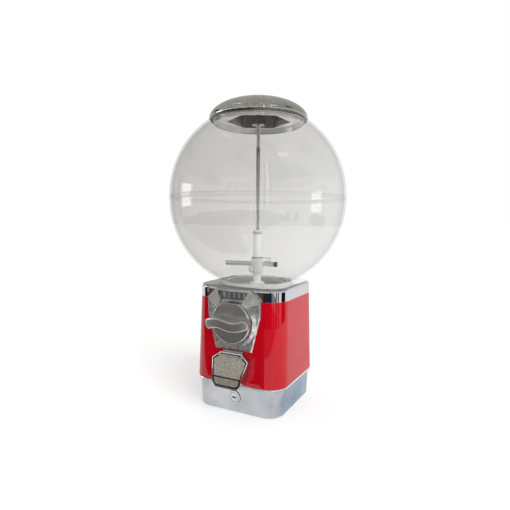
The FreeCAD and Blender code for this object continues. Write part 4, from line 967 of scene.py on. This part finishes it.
# Painted shade: the grey band near the sleeve's top stands for the shading at the sleeve's end
SLEEVE_BAND_SHADE = CloudyPlastic("sleeve_band_plastic", bright=(0.62, 0.63, 0.61),
                           dull=(0.50, 0.51, 0.49), body=0.85)
ROD_STEEL = BarSteel("rod_steel", bright=(0.66, 0.66, 0.64), dull=(0.42, 0.42, 0.40),
                     along=(1.0, 1.0, 0.05))
ARM_STEEL = BarSteel("arm_zinc", bright=(0.96, 0.98, 0.99), dull=(0.82, 0.85, 0.86), polish=0.30)
WORKS_STEEL = BarSteel("works_steel", along=(1.0, 1.0, 1.0), polish=0.3)
BUSH_BRASS = BarSteel("bush_brass_bar", bright=(0.70, 0.52, 0.24), dull=(0.50, 0.36, 0.16),
                      along=(1.0, 0.1, 1.0))
WHEEL_WHITE = Moulding("wheel_white_plastic", bright=(0.92, 0.93, 0.90), dull=(0.85, 0.86, 0.83))
DUCT_GREY = Moulding("duct_grey_plastic", bright=(0.26, 0.26, 0.27), dull=(0.20, 0.20, 0.21))
SOFT_RUBBER = Moulding("soft_rubber", bright=(0.06, 0.06, 0.06), dull=(0.035, 0.035, 0.035),
                       polish=0.6)
# Painted shade: the key slot's walls and floor are laid near black
SLOT_PAINTED_SHADE = Moulding("key_slot_black", bright=(0.012, 0.012, 0.012), dull=(0.006, 0.006, 0.006),
                      polish=0.6)
# Painted shade: the sides of the door and the surround's faces towards it, in the gap round the
# door, are laid near black
GAP_PAINTED_SHADE = Moulding("door_gap_black", bright=(0.020, 0.019, 0.017), dull=(0.010, 0.009, 0.008),
                     polish=0.6)


@dataclass
class Base(Assembly):
    """The chromed foot with its lock."""

    pan_edge: float = 0.5
    lock_edge: float = 0.35
    top: float = 38.0
    ledge_half: float = 63.5
    ledge_corner: float = 26.5
    ledge_thick: float = 3.5
    ledge_slack: float = 0.6
    level_slack: float = 0.1
    flat_slack: float = 0.01
    face_reach: float = 1.02
    nose: float = 1.4
    nose_steps: int = 4
    slot_half: Point = (3.1, 0.85)
    slot_skin: float = 0.4

    def on_ledge(self, corner: Vector) -> bool:
        """Says whether a corner lies on the ledge's outer edge.

        Args:
            corner: the corner, in millimetres.

        Returns:
            True on that edge.
        """
        straight = self.ledge_half - self.ledge_corner
        beyond = (max(abs(part) - straight, 0.0) for part in (corner.x, corner.y))
        foot = self.top - self.ledge_thick - self.level_slack
        return math.hypot(*beyond) > self.ledge_corner - self.ledge_slack and corner.z > foot

    def round_ledge(self, piece: Piece) -> None:
        """Gives the ledge a round nose.

        Args:
            piece: the pan.
        """
        self.bench.choose(piece, Element.EDGE, lambda ends: (
            abs(ends[0].z - ends[1].z) < self.flat_slack and all(map(self.on_ledge, ends))))
        bpy.ops.mesh.bevel(offset=self.nose * MM, segments=self.nose_steps, affect="EDGES")
        self.bench.close()

    def build(self) -> None:
        """Builds and dresses the foot."""
        pan = self.recast(BASE_PLATING, "base_pan", self.pan_edge, shape=self.round_ledge)
        middle = self.top - self.ledge_thick / 2
        # Painted highlight on the upper half of the ledge's nose
        self.paint(pan, LEDGE_HIGHLIGHT_PLATING, lambda place, normal: (
            place.z > middle and self.on_ledge(place * self.face_reach)))
        # Painted shade: the base lock barrel's rounded rim is laid in the dark plating, as a
        # shadow ring round the lock
        self.recast(LOCK_PLATING, "base_lock_barrel", self.lock_edge, PAINTED_SHADE_PLATING)
        plug = self.recast(LOCK_PLATING, "base_lock_plug", self.lock_edge)
        low, high = (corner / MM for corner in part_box("base_lock_plug"))
        level = (low.z + high.z) / 2
        # Painted shade inside the key slot
        self.paint(plug, SLOT_PAINTED_SHADE, lambda place, normal: (
            abs(place.x) < self.slot_half[0] and abs(place.z - level) < self.slot_half[1]
            and place.y > low.y + self.slot_skin))
        self.dress(WORKS_STEEL, "base_lock_nut", "base_lock_cam", "cam_screw", "latch_catch")


@dataclass
class Cabinet(Assembly):
    """The red shell, the chromed casting on it and the wheel's pan."""

    shell_edge: float = 0.35
    casting_edge: float = 0.3
    shield_edge: float = 0.4
    hole: float = 50.0

    def build(self) -> None:
        """Builds and dresses the cabinet."""
        self.recast(RED_LACQUER, "shell", self.shell_edge)
        casting = self.recast(BAND_PLATING, "top_casting", self.casting_edge)
        # Painted highlight: the casting's mouth and throat are laid in the bright edge plating
        self.paint(casting, EDGE_HIGHLIGHT_PLATING, lambda place, normal: (
            math.hypot(place.x, place.y) < self.hole))
        self.recast(WHEEL_WHITE, "outlet_shield", self.shield_edge)
        self.dress(WHEEL_WHITE, "wheel_pan", "thrust_washer")
        self.dress(WORKS_STEEL, "casting_screws", "shield_screws")
        self.dress(SEAL_MILKY, "globe_gasket")


@dataclass
class Globe(Assembly):
    """Two clear half globes that lap at the middle."""

    radius: float = 115.0
    wall: float = 2.6
    foot_radius: float = 46.8
    mouth_radius: float = 63.4
    foot: float = 160.5
    collar: float = 7.5
    seam: float = 4.7
    proud: float = 0.5
    gap: float = 0.15
    lap_end: float = 0.3
    lap_gaps: float = 2.5
    edge: float = 0.25
    edge_angle: float = 40.0
    smooth_angle: float = 30.0
    steps: int = 192
    arc_steps: int = 44

    def arc(self, radius: float, middle: float, start: float, end: float) -> List[Point]:
        """Gives points on an arc.

        Args:
            radius: the arc's radius.
            middle: the height of its middle.
            start: the height of its first point.
            end: the height of its last point.

        Returns:
            Distance from the axis and height of each point.
        """
        first = math.asin((start - middle) / radius)
        last = math.asin((end - middle) / radius)
        return [(radius * math.cos(turn), middle + radius * math.sin(turn))
                for turn in spread(first, last, self.arc_steps)]

    def in_lap(self, place: Vector, low: float, high: float) -> bool:
        """Says whether a place is on the faces of the lap, where two walls meet.

        Args:
            place: the place, in millimetres.
            low: the lap's lower end.
            high: the lap's upper end.

        Returns:
            True on those faces.
        """
        depth = abs(math.hypot(place.x, place.y) - self.radius + self.wall / 2)
        level = low + self.lap_end < place.z < high - self.lap_end
        return level and depth < self.lap_gaps * self.gap

    def build(self) -> None:
        """Builds and dresses both halves."""
        low = self.foot + math.sqrt(self.radius ** 2 - self.foot_radius ** 2)
        high = low + self.collar
        mouth = high + math.sqrt(self.radius ** 2 - self.mouth_radius ** 2)
        seam_low = low + (self.collar - self.seam) / 2
        seam_high = seam_low + self.seam
        outside, inside = self.radius, self.radius - self.wall
        lap, gap, bead = self.radius - self.wall / 2, self.gap, self.radius + self.proud
        lower = [*self.arc(outside, low, self.foot, low), (outside, seam_low),
                 (lap - gap, seam_low), (lap - gap, seam_high), (inside, seam_high),
                 *reversed(self.arc(inside, low, self.foot, low))]
        upper = [*self.arc(outside, high, high, mouth),
                 *reversed(self.arc(inside, high, high, mouth)),
                 (inside, seam_high + gap), (lap + gap, seam_high + gap),
                 (lap + gap, seam_low + gap), (bead, seam_low + gap),
                 (bead, seam_high), (outside, seam_high + self.proud)]
        for node, points in (("globe_lower", lower), ("globe_upper", upper)):
            piece = self.bench.turn(f"{node}_half", points, self.steps)
            self.bench.bevel(piece, self.edge, self.edge_angle)
            self.bench.smooth(piece, self.smooth_angle)
            self.seat(piece, node)
            GLOBE_CLEAR.lay(piece)
            self.paint(piece, LAP_CLEAR, lambda place, normal: (
                self.in_lap(place, seam_low, seam_high)))


@dataclass
class Lid(Assembly):
    """The chromed dome, its liner and its lock."""

    radius: float = 64.3
    rim: float = 369.14
    rim_height: float = 2.4
    rim_taper: float = 2.0
    dome_height: float = 26.6
    wall: float = 1.4
    hole: float = 8.55
    dome_edge: float = 0.5
    dome_edge_angle: float = 30.0
    dome_edge_steps: int = 3
    liner_edge: float = 0.6
    liner_angle: float = 14.0
    hollow_lip: float = 1.4
    lock_edge: float = 0.3
    plug_edge: float = 0.2
    steps: int = 160
    arc_steps: int = 40

    def dome_arc(self, radius: float, height: float) -> List[Point]:
        """Gives points from the dome's widest place up to the lock hole.

        Args:
            radius: the dome's radius.
            height: the dome's height.

        Returns:
            Distance from the axis and height of each point.
        """
        wide = self.rim + self.rim_height
        last = math.acos(self.hole / radius)
        return [(radius * math.cos(turn), wide + height * math.sin(turn))
                for turn in spread(0.0, last, self.arc_steps)]

    def build(self) -> None:
        """Builds and dresses the lid."""
        foot = self.radius - self.rim_taper
        points = [(foot, self.rim), *self.dome_arc(self.radius, self.dome_height),
                  *reversed(self.dome_arc(self.radius - self.wall, self.dome_height - self.wall)),
                  (foot - self.wall, self.rim)]
        dome = self.bench.turn("lid_dome_skin", points, self.steps)
        self.bench.bevel(dome, self.dome_edge, self.dome_edge_angle, self.dome_edge_steps)
        self.bench.smooth(dome)
        self.seat(dome, "lid_dome")
        LID_PLATING.lay(dome)
        wide = self.rim + self.rim_height
        # Painted shade: the dome's underside below its widest place is laid in the dark plating
        self.paint(dome, PAINTED_SHADE_PLATING, lambda place, normal: place.z < wide and normal.z < 0.0)
        # Painted highlights on the liner's rounded facet edges
        liner = self.recast(LINER_PLATING, "lid_liner", self.liner_edge, EDGE_HIGHLIGHT_PLATING,
                            sharp=self.liner_angle)
        # Painted shade: the liner's hollow is laid in the dark plating
        self.paint(liner, PAINTED_SHADE_PLATING, lambda place, normal: (
            place.z > self.rim + self.hollow_lip))
        # Painted shade over the lid's lock barrel, with painted highlights on its rounded edges
        self.recast(PAINTED_SHADE_PLATING, "lid_lock_barrel", self.lock_edge, EDGE_HIGHLIGHT_PLATING)
        self.recast(LOCK_PLATING, "lid_lock_plug", self.plug_edge)
        self.recast(LOCK_PLATING, "lid_lock_nut", self.lock_edge)


@dataclass
class Spindle(Assembly):
    """The centre rod, the sleeve on it, the wheel and the agitator."""

    rod_radius: float = 2.5
    rod_foot: float = 108.0
    rod_top: float = 382.64
    foot_chamfer: Point = (0.4, 0.5)
    top_chamfer: float = 0.5
    rod_steps: int = 28
    thread_foot: float = 336.0
    thread_end: float = 0.6
    pitch: float = 0.8
    thread_depth: float = 0.35
    sleeve_radius: float = 5.5
    sleeve_top: float = 227.5
    sleeve_edge: float = 0.3
    band_height: float = 3.4
    band_thick: float = 0.6
    band_drop: float = 1.5
    hub_radius: float = 8.3
    hub_top: float = 190.4
    hub_edge: float = 0.8
    arm_edge: float = 0.4
    tip_edge: float = 0.6
    wheel_edge: float = 0.3
    ring_thick: float = 1.0
    ring_width: float = 1.5
    ring_gap: float = 0.05
    ring_softness: float = 0.3
    ring_steps: int = 64
    boss_height: float = 175.5
    boss_radius: float = 4.0
    boss_reach: float = 2.6
    boss_root: float = 1.2
    boss_softness: float = 0.7
    boss_bulge: float = 0.3
    boss_dimple: Point = (0.35, 0.5)
    boss_steps: int = 40
    boss_way: Way = (-0.70710678, -0.70710678, 0.0)
    round_angle: float = 50.0
    boss_angle: float = 40.0

    def rod(self) -> Piece:
        """Turns the rod, with ridges along its upper end.

        Returns:
            The rod.
        """
        count = int((self.rod_top - self.thread_end - self.thread_foot) / self.pitch)
        crest, root = self.rod_radius, self.rod_radius - self.thread_depth
        narrow, height = self.foot_chamfer
        points = [(0.0, self.rod_foot), (crest - narrow, self.rod_foot),
                  (crest, self.rod_foot + height)]
        for number in range(count):
            start = self.thread_foot + number * self.pitch
            points += [(crest, start), (root, start + self.pitch / 2)]
        points += [(crest, self.thread_foot + count * self.pitch),
                   (crest - self.top_chamfer, self.rod_top), (0.0, self.rod_top)]
        return self.bench.turn("centre_rod_threaded", points, self.rod_steps)

    def collar(self, name: str, thick: float, foot: float, height: float) -> Piece:
        """Turns a rounded ring that fits on the sleeve.

        Args:
            name: its name.
            thick: how far it stands out.
            foot: where it starts.
            height: how high it is.

        Returns:
            The ring.
        """
        inside, outside = self.sleeve_radius + self.ring_gap, self.sleeve_radius + thick
        soft, top = self.ring_softness * min(thick, height), foot + height
        points = [(inside, foot), (outside - soft, foot), (outside, foot + soft),
                  (outside, top - soft), (outside - soft, top), (inside, top)]
        ring = self.bench.turn(name, points, self.ring_steps)
        self.bench.smooth(ring, self.round_angle)
        return ring

    def boss(self) -> Piece:
        """Turns the button on the side of the hub, with a dimple in its face.

        Returns:
            The button.
        """
        start, end = self.hub_radius - self.boss_root, self.hub_radius + self.boss_reach
        wide, soft = self.boss_radius, self.boss_softness
        bulge = self.boss_bulge * soft
        floor, rim = (share * wide for share in self.boss_dimple)
        points = [(0.0, start), (wide, start), (wide, end - soft), (wide - bulge, end - bulge),
                  (wide - soft, end), (rim, end), (floor, end - soft), (0.0, end - soft)]
        button = self.bench.turn("agitator_hub_boss", points, self.boss_steps, self.boss_way,
                                 (0.0, 0.0, 1.0), (0.0, 0.0, self.boss_height))
        self.bench.smooth(button, self.boss_angle)
        return button

    def build(self) -> None:
        """Builds and dresses the spindle."""
        rod = self.rod()
        self.bench.smooth(rod, self.round_angle)
        self.seat(rod, "centre_rod")
        ROD_STEEL.lay(rod)
        self.recast(SLEEVE_MILKY, "rod_sleeve", self.sleeve_edge)
        self.recast(HUB_MILKY, "agitator_hub", self.hub_edge)
        for node in ("agitator_long_arm", "agitator_short_arm"):
            self.recast(ARM_STEEL, node, self.arm_edge)
        self.recast(ARM_STEEL, "agitator_clip", 0.0)
        self.recast(SOFT_RUBBER, "agitator_tip", self.tip_edge)
        self.recast(WHEEL_WHITE, "product_wheel", self.wheel_edge)
        self.dress(WORKS_STEEL, "rod_washer", "rod_nut")
        # Painted shade: the grey band near the sleeve's top stands for shading there
        band_foot = self.sleeve_top - self.band_drop * self.band_height
        trims = (
            (self.collar("sleeve_band", self.band_thick, band_foot, self.band_height),
             SLEEVE_BAND_SHADE, "rod_sleeve"),
            (self.collar("agitator_hub_ring", self.ring_width, self.hub_top, self.ring_thick),
             SOFT_RUBBER, "agitator_hub"),
            (self.boss(), HUB_MILKY, "agitator_hub"),
        )
        for trim, finish, carrier in trims:
            self.carry(trim, carrier)
            finish.lay(trim)


@dataclass
class CoinMechanism(Assembly):
    """The faced housing, the knob and the works behind them."""

    housing_edge: float = 0.45
    facet_foot: float = 128.0
    facet_turn: Point = (0.15, 0.985)
    guide_edge: float = 0.25
    rib_foot: float = -61.2
    rib_turn: float = 0.5
    disc_edge: float = 0.5
    handle_edge: float = 0.3

    def build(self) -> None:
        """Builds and dresses the mechanism."""
        # Painted highlights: the housing, the coin guide and the knob disc take the bright plating
        # on their rounded edges
        housing = self.recast(HOUSING_CASTING, "mech_housing", self.housing_edge, EDGE_HIGHLIGHT_PLATING)
        least, most = self.facet_turn
        # Painted shade: the upper facets, turned partly away from the front, are laid darker
        self.paint(housing, FACET_SHADE_CASTING, lambda place, normal: (
            place.z > self.facet_foot and least < -normal.y < most))
        guide = self.recast(GUIDE_CASTING, "coin_guide", self.guide_edge, EDGE_HIGHLIGHT_PLATING)
        # Painted shade: the recessed ground behind the ribs is laid darker than the ribs
        self.paint(guide, FUNNEL_SHADE_CASTING, lambda place, normal: (
            place.y > self.rib_foot and -normal.y > self.rib_turn))
        self.recast(KNOB_CASTING, "knob_disc", self.disc_edge, EDGE_HIGHLIGHT_PLATING)
        self.recast(KNOB_CASTING, "handle", self.handle_edge)
        self.dress(WORKS_STEEL, "mech_back_plate", "mech_screws", "pawl_leaf", "pawl_post",
                   "drive_shaft", "coin_carrier", "ratchet_wheel", "shaft_clip")
        self.dress(BUSH_BRASS, "shaft_bush")
        self.dress(WHEEL_WHITE, "drive_pinion")


@dataclass
class Chute(Assembly):
    """The duct and the door that the sweets come out of."""

    frame_edge: float = 0.3
    flap_edge: float = 0.45
    gap: float = 1.9
    middle: float = 58.0
    side_turn: float = -0.4
    front_turn: float = -0.5
    inward_turn: float = -0.5

    def inward(self, place: Vector, normal: Vector) -> bool:
        """Says whether a face of the surround looks towards the middle of the door."""
        return place.x * normal.x + (place.z - self.middle) * normal.z < self.inward_turn

    def build(self) -> None:
        """Builds and dresses the chute."""
        for node in ("flap", "chute_lip"):
            door = self.recast(DOOR_CASTING, node, self.flap_edge)
            # Painted shade: the door's sides in the gap are laid near black
            self.paint(door, GAP_PAINTED_SHADE, lambda place, normal: normal.y > self.side_turn)
        surround = self.recast(FRAME_PLATING, "chute_frame", self.frame_edge)
        door_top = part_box("flap")[1].z / MM
        self.paint(surround, DOOR_CASTING, lambda place, normal: place.z > door_top + self.gap)
        # Painted highlight: the surround's front faces are laid in the bright plating
        self.paint(surround, EDGE_HIGHLIGHT_PLATING, lambda place, normal: normal.y < self.front_turn)
        # Painted shade: the surround's faces towards the door are laid near black
        self.paint(surround, GAP_PAINTED_SHADE, self.inward)
        self.dress(DUCT_GREY, "chute_duct")
        self.dress(WORKS_STEEL, "flap_hinge_pin")


@dataclass(frozen=True)
class Card:
    """A standing card that only mirrors see.

    Attributes:
        name: its name.
        bearing: its middle's bearing from the machine, in degrees, with zero in front.
        rise: the angle of its middle above the globe's middle, in degrees.
        spread: its width and height as angles, in degrees.
        light: its colour, as light.
        distance: how far off it stands, in metres.
    """

    name: str
    bearing: float
    rise: float
    spread: Point
    light: Colour
    distance: float = 1.2

    def middle(self, target: Vector) -> Vector:
        """Gives the card's middle.

        Args:
            target: the point that its bearing and rise are seen from.

        Returns:
            The middle, in metres.
        """
        turn, tilt = math.radians(self.bearing), math.radians(self.rise)
        level = Vector((math.sin(turn), -math.cos(turn), math.tan(tilt)))
        return target + level * self.distance

    def size(self) -> Point:
        """Gives the card's width and height, in metres."""
        return tuple(2 * self.distance * math.tan(math.radians(angle / 2))
                     for angle in self.spread)


@dataclass(frozen=True)
class Mat:
    """A level mat or ceiling that only mirrors see.

    Attributes:
        name: its name.
        low: its lowest X and Y, in metres.
        high: its highest X and Y, in metres.
        height: its height, in metres.
        light: its colour, as light.
    """

    name: str
    low: Point
    high: Point
    height: float
    light: Colour


@dataclass
class Studio:
    """Floor, light, mirror cards and camera."""

    eye: Way = (0.25569144, -0.50421345, 0.2397)
    right: Way = (0.88903849, 0.45773961, 0.00922019)
    up: Way = (-0.04496391, 0.0672537, 0.99672222)
    ahead: Way = (-0.45561915, 0.88653899, -0.08037289)
    lens: float = 29.753
    film_width: float = 36.0
    near: float = 0.01
    floor_size: float = 40.0
    floor_height: float = -0.0002
    floor_colour: Colour = (0.80, 0.80, 0.80)
    floor_glow: float = 0.32
    sky: float = 0.66
    sun: Way = (0.75, -0.38, 0.55)
    sun_power: float = 1.75
    sun_width: float = 40.0
    target: Way = (0.0, 0.0, 0.269)
    cards: Tuple[Card, ...] = (
        Card("card_front", -18.5, -18.0, (63.0, 12.0), (0.13, 0.09, 0.078), 0.66),
        Card("card_navy", 26.5, -18.0, (27.0, 12.0), (0.02, 0.03, 0.07), 0.66),
        Card("card_brown", 62.5, -18.0, (6.0, 12.0), (0.10, 0.05, 0.03), 0.66),
        Card("card_brown_edge", 73.5, -18.0, (6.0, 12.0), (0.05, 0.03, 0.025), 0.66),
        Card("card_black", 105.0, -18.0, (26.0, 12.0), (0.012, 0.012, 0.012), 0.66),
        Card("card_left", -65.0, -18.0, (24.0, 12.0), (0.03, 0.025, 0.02), 0.66),
        Card("card_black_front", 5.0, -18.0, (15.0, 12.0), (0.03, 0.026, 0.024), 0.64),
        Card("card_window", -71.0, 3.0, (20.0, 14.0), (6.5, 6.5, 6.5)),
        Card("card_window_bar", -85.5, 3.0, (7.0, 26.0), (0.0, 0.0, 0.0)),
        Card("card_streak", 38.0, 14.0, (1.5, 44.0), (2.6, 2.6, 2.6)),
        Card("card_streak_dark", 34.5, 12.0, (1.6, 50.0), (0.02, 0.02, 0.02)),
        Card("card_streak_far", 42.0, 6.0, (1.2, 30.0), (0.02, 0.02, 0.02)),
        Card("card_facet", -98.0, 15.0, (14.0, 8.0), (0.5, 0.5, 0.5)),
        Card("card_facet_left", -54.2, -20.3, (29.0, 13.0), (0.10, 0.09, 0.085), 0.254),
        Card("card_lid_right", 62.0, 43.0, (16.0, 6.0), (1.9, 1.9, 1.85), 0.6),
        Card("card_lid_left", -44.0, 61.0, (36.0, 4.0), (1.7, 1.6, 1.45), 0.4),
        Card("card_lid_side", -87.0, 30.0, (20.0, 10.0), (0.03, 0.03, 0.03), 0.7),
        Card("card_lid_dark", 109.0, 44.0, (24.0, 11.0), (0.01, 0.01, 0.01), 0.7),
        Card("card_lid_shade", 26.0, 28.0, (8.0, 6.0), (0.08, 0.08, 0.07), 0.8),
        Card("card_back_left", -136.0, 5.0, (26.0, 14.0), (0.40, 0.38, 0.36)),
    )
    mats: Tuple[Mat, ...] = (
        Mat("mat_front", (-0.75, -0.80), (0.04, -0.17), 0.0006, (0.06, 0.055, 0.05)),
        Mat("mat_far", (0.04, -0.80), (0.75, -0.335), 0.0006, (0.30, 0.30, 0.31)),
        Mat("mat_right", (0.0595, -0.030), (0.10, 0.14), 0.0006, (0.60, 0.72, 0.80)),
        Mat("mat_right_soft", (0.0595, -0.042), (0.10, -0.030), 0.0006, (0.74, 0.83, 0.90)),
        Mat("mat_right_pale", (0.0595, -0.054), (0.10, -0.042), 0.0006, (0.88, 0.93, 0.97)),
        Mat("mat_ceiling", (-2.5, -2.5), (2.5, 2.5), 1.10, (0.50, 0.50, 0.48)),
    )

    def floor_paper(self, sheet: Sheet) -> Wire:
        """Draws the floor's paper, which glows where it is seen.

        Args:
            sheet: the node sheet that it is drawn on.

        Returns:
            The shader.
        """
        matt = sheet.node("ShaderNodeBsdfDiffuse", sockets={"Color": self.floor_colour})
        glow = sheet.glow(WHITE, self.floor_glow)
        lit = sheet.node("ShaderNodeAddShader", sockets={0: matt, 1: glow})
        return sheet.blend(sheet.seen(), matt, lit)

    def floor(self) -> None:
        """Lays a pale floor that shows white and keeps the shadow."""
        bpy.ops.mesh.primitive_plane_add(size=self.floor_size, location=(0, 0, self.floor_height))
        plane = bpy.context.object
        plane.name = "studio_floor"
        plane.data.materials.append(new_material("studio_paper", self.floor_paper))

    def world(self) -> None:
        """Makes a white surround that lights the object at a plain level."""
        world = bpy.data.worlds.new("studio_world")
        world.use_nodes = True
        bpy.context.scene.world = world
        sheet = Sheet(world.node_tree)
        strength = self.sky + (1.0 - self.sky) * sheet.seen()
        sockets = {"Color": WHITE, "Strength": strength}
        white = sheet.node("ShaderNodeBackground", sockets=sockets)
        sheet.node("ShaderNodeOutputWorld", sockets={"Surface": white})

    def key(self) -> None:
        """Hangs the main light, broad and to the front right."""
        bpy.ops.object.light_add(type="SUN")
        lamp = bpy.context.object
        lamp.name = "key_light"
        lamp.data.energy = self.sun_power
        lamp.data.angle = math.radians(self.sun_width)
        lamp.rotation_euler = Vector(self.sun).to_track_quat("Z", "Y").to_euler()
        lamp.visible_glossy = False

    def paper(self, plane: Piece, name: str, light: Colour) -> None:
        """Colours a card and hides it from all but mirrors.

        Args:
            plane: the card.
            name: its name.
            light: its colour, as light.
        """
        plane.name = name
        plane.data.materials.append(new_material(name, lambda sheet: sheet.glow(light)))
        for ray in ("camera", "diffuse", "transmission", "volume_scatter", "shadow"):
            setattr(plane, f"visible_{ray}", False)

    def hang(self, card: Card) -> None:
        """Stands a card round the machine.

        Args:
            card: the card.
        """
        target = Vector(self.target)
        middle = card.middle(target)
        bpy.ops.mesh.primitive_plane_add(size=1.0, location=middle)
        plane = bpy.context.object
        plane.scale = (*card.size(), 1.0)
        plane.rotation_euler = (target - middle).to_track_quat("Z", "Y").to_euler()
        self.paper(plane, card.name, card.light)

    def lay(self, mat: Mat) -> None:
        """Lays a level mat.

        Args:
            mat: the mat.
        """
        spans = [high - low for low, high in zip(mat.low, mat.high)]
        middle = [(low + high) / 2 for low, high in zip(mat.low, mat.high)]
        bpy.ops.mesh.primitive_plane_add(size=1.0, location=(*middle, mat.height))
        plane = bpy.context.object
        plane.scale = (*spans, 1.0)
        self.paper(plane, mat.name, mat.light)

    def camera(self) -> None:
        """Sets the camera at the photograph's viewing angle."""
        bpy.ops.object.camera_add()
        camera = bpy.context.object
        camera.name = "photo_camera"
        camera.data.lens = self.lens
        camera.data.sensor_width = self.film_width
        camera.data.clip_start = self.near
        back = [-part for part in self.ahead]
        columns = Matrix((self.right, self.up, back)).transposed()
        camera.matrix_world = Matrix.Translation(self.eye) @ columns.to_4x4()
        bpy.context.scene.camera = camera

    def build(self) -> None:
        """Sets up the studio."""
        bpy.context.scene.view_settings.view_transform = "Standard"
        self.floor()
        self.world()
        self.key()
        for card in self.cards:
            self.hang(card)
        for mat in self.mats:
            self.lay(mat)
        self.camera()


def main() -> None:
    """Builds the machine piece by piece and reports each."""
    logging.basicConfig(level=logging.INFO, format="%(name)s: %(message)s")
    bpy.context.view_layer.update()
    bench = Bench()
    bench.put_down()
    for kind in (Base, Cabinet, Globe, Lid, Spindle, CoinMechanism, Chute):
        assembly = kind(bench, frame["nodes"], frame["record"])
        assembly.build()
        LOG.info("%s: %d pieces", kind.__name__, len(assembly.made))
    bench.put_down()
    Studio().build()


if __name__ == "__main__":
    main()
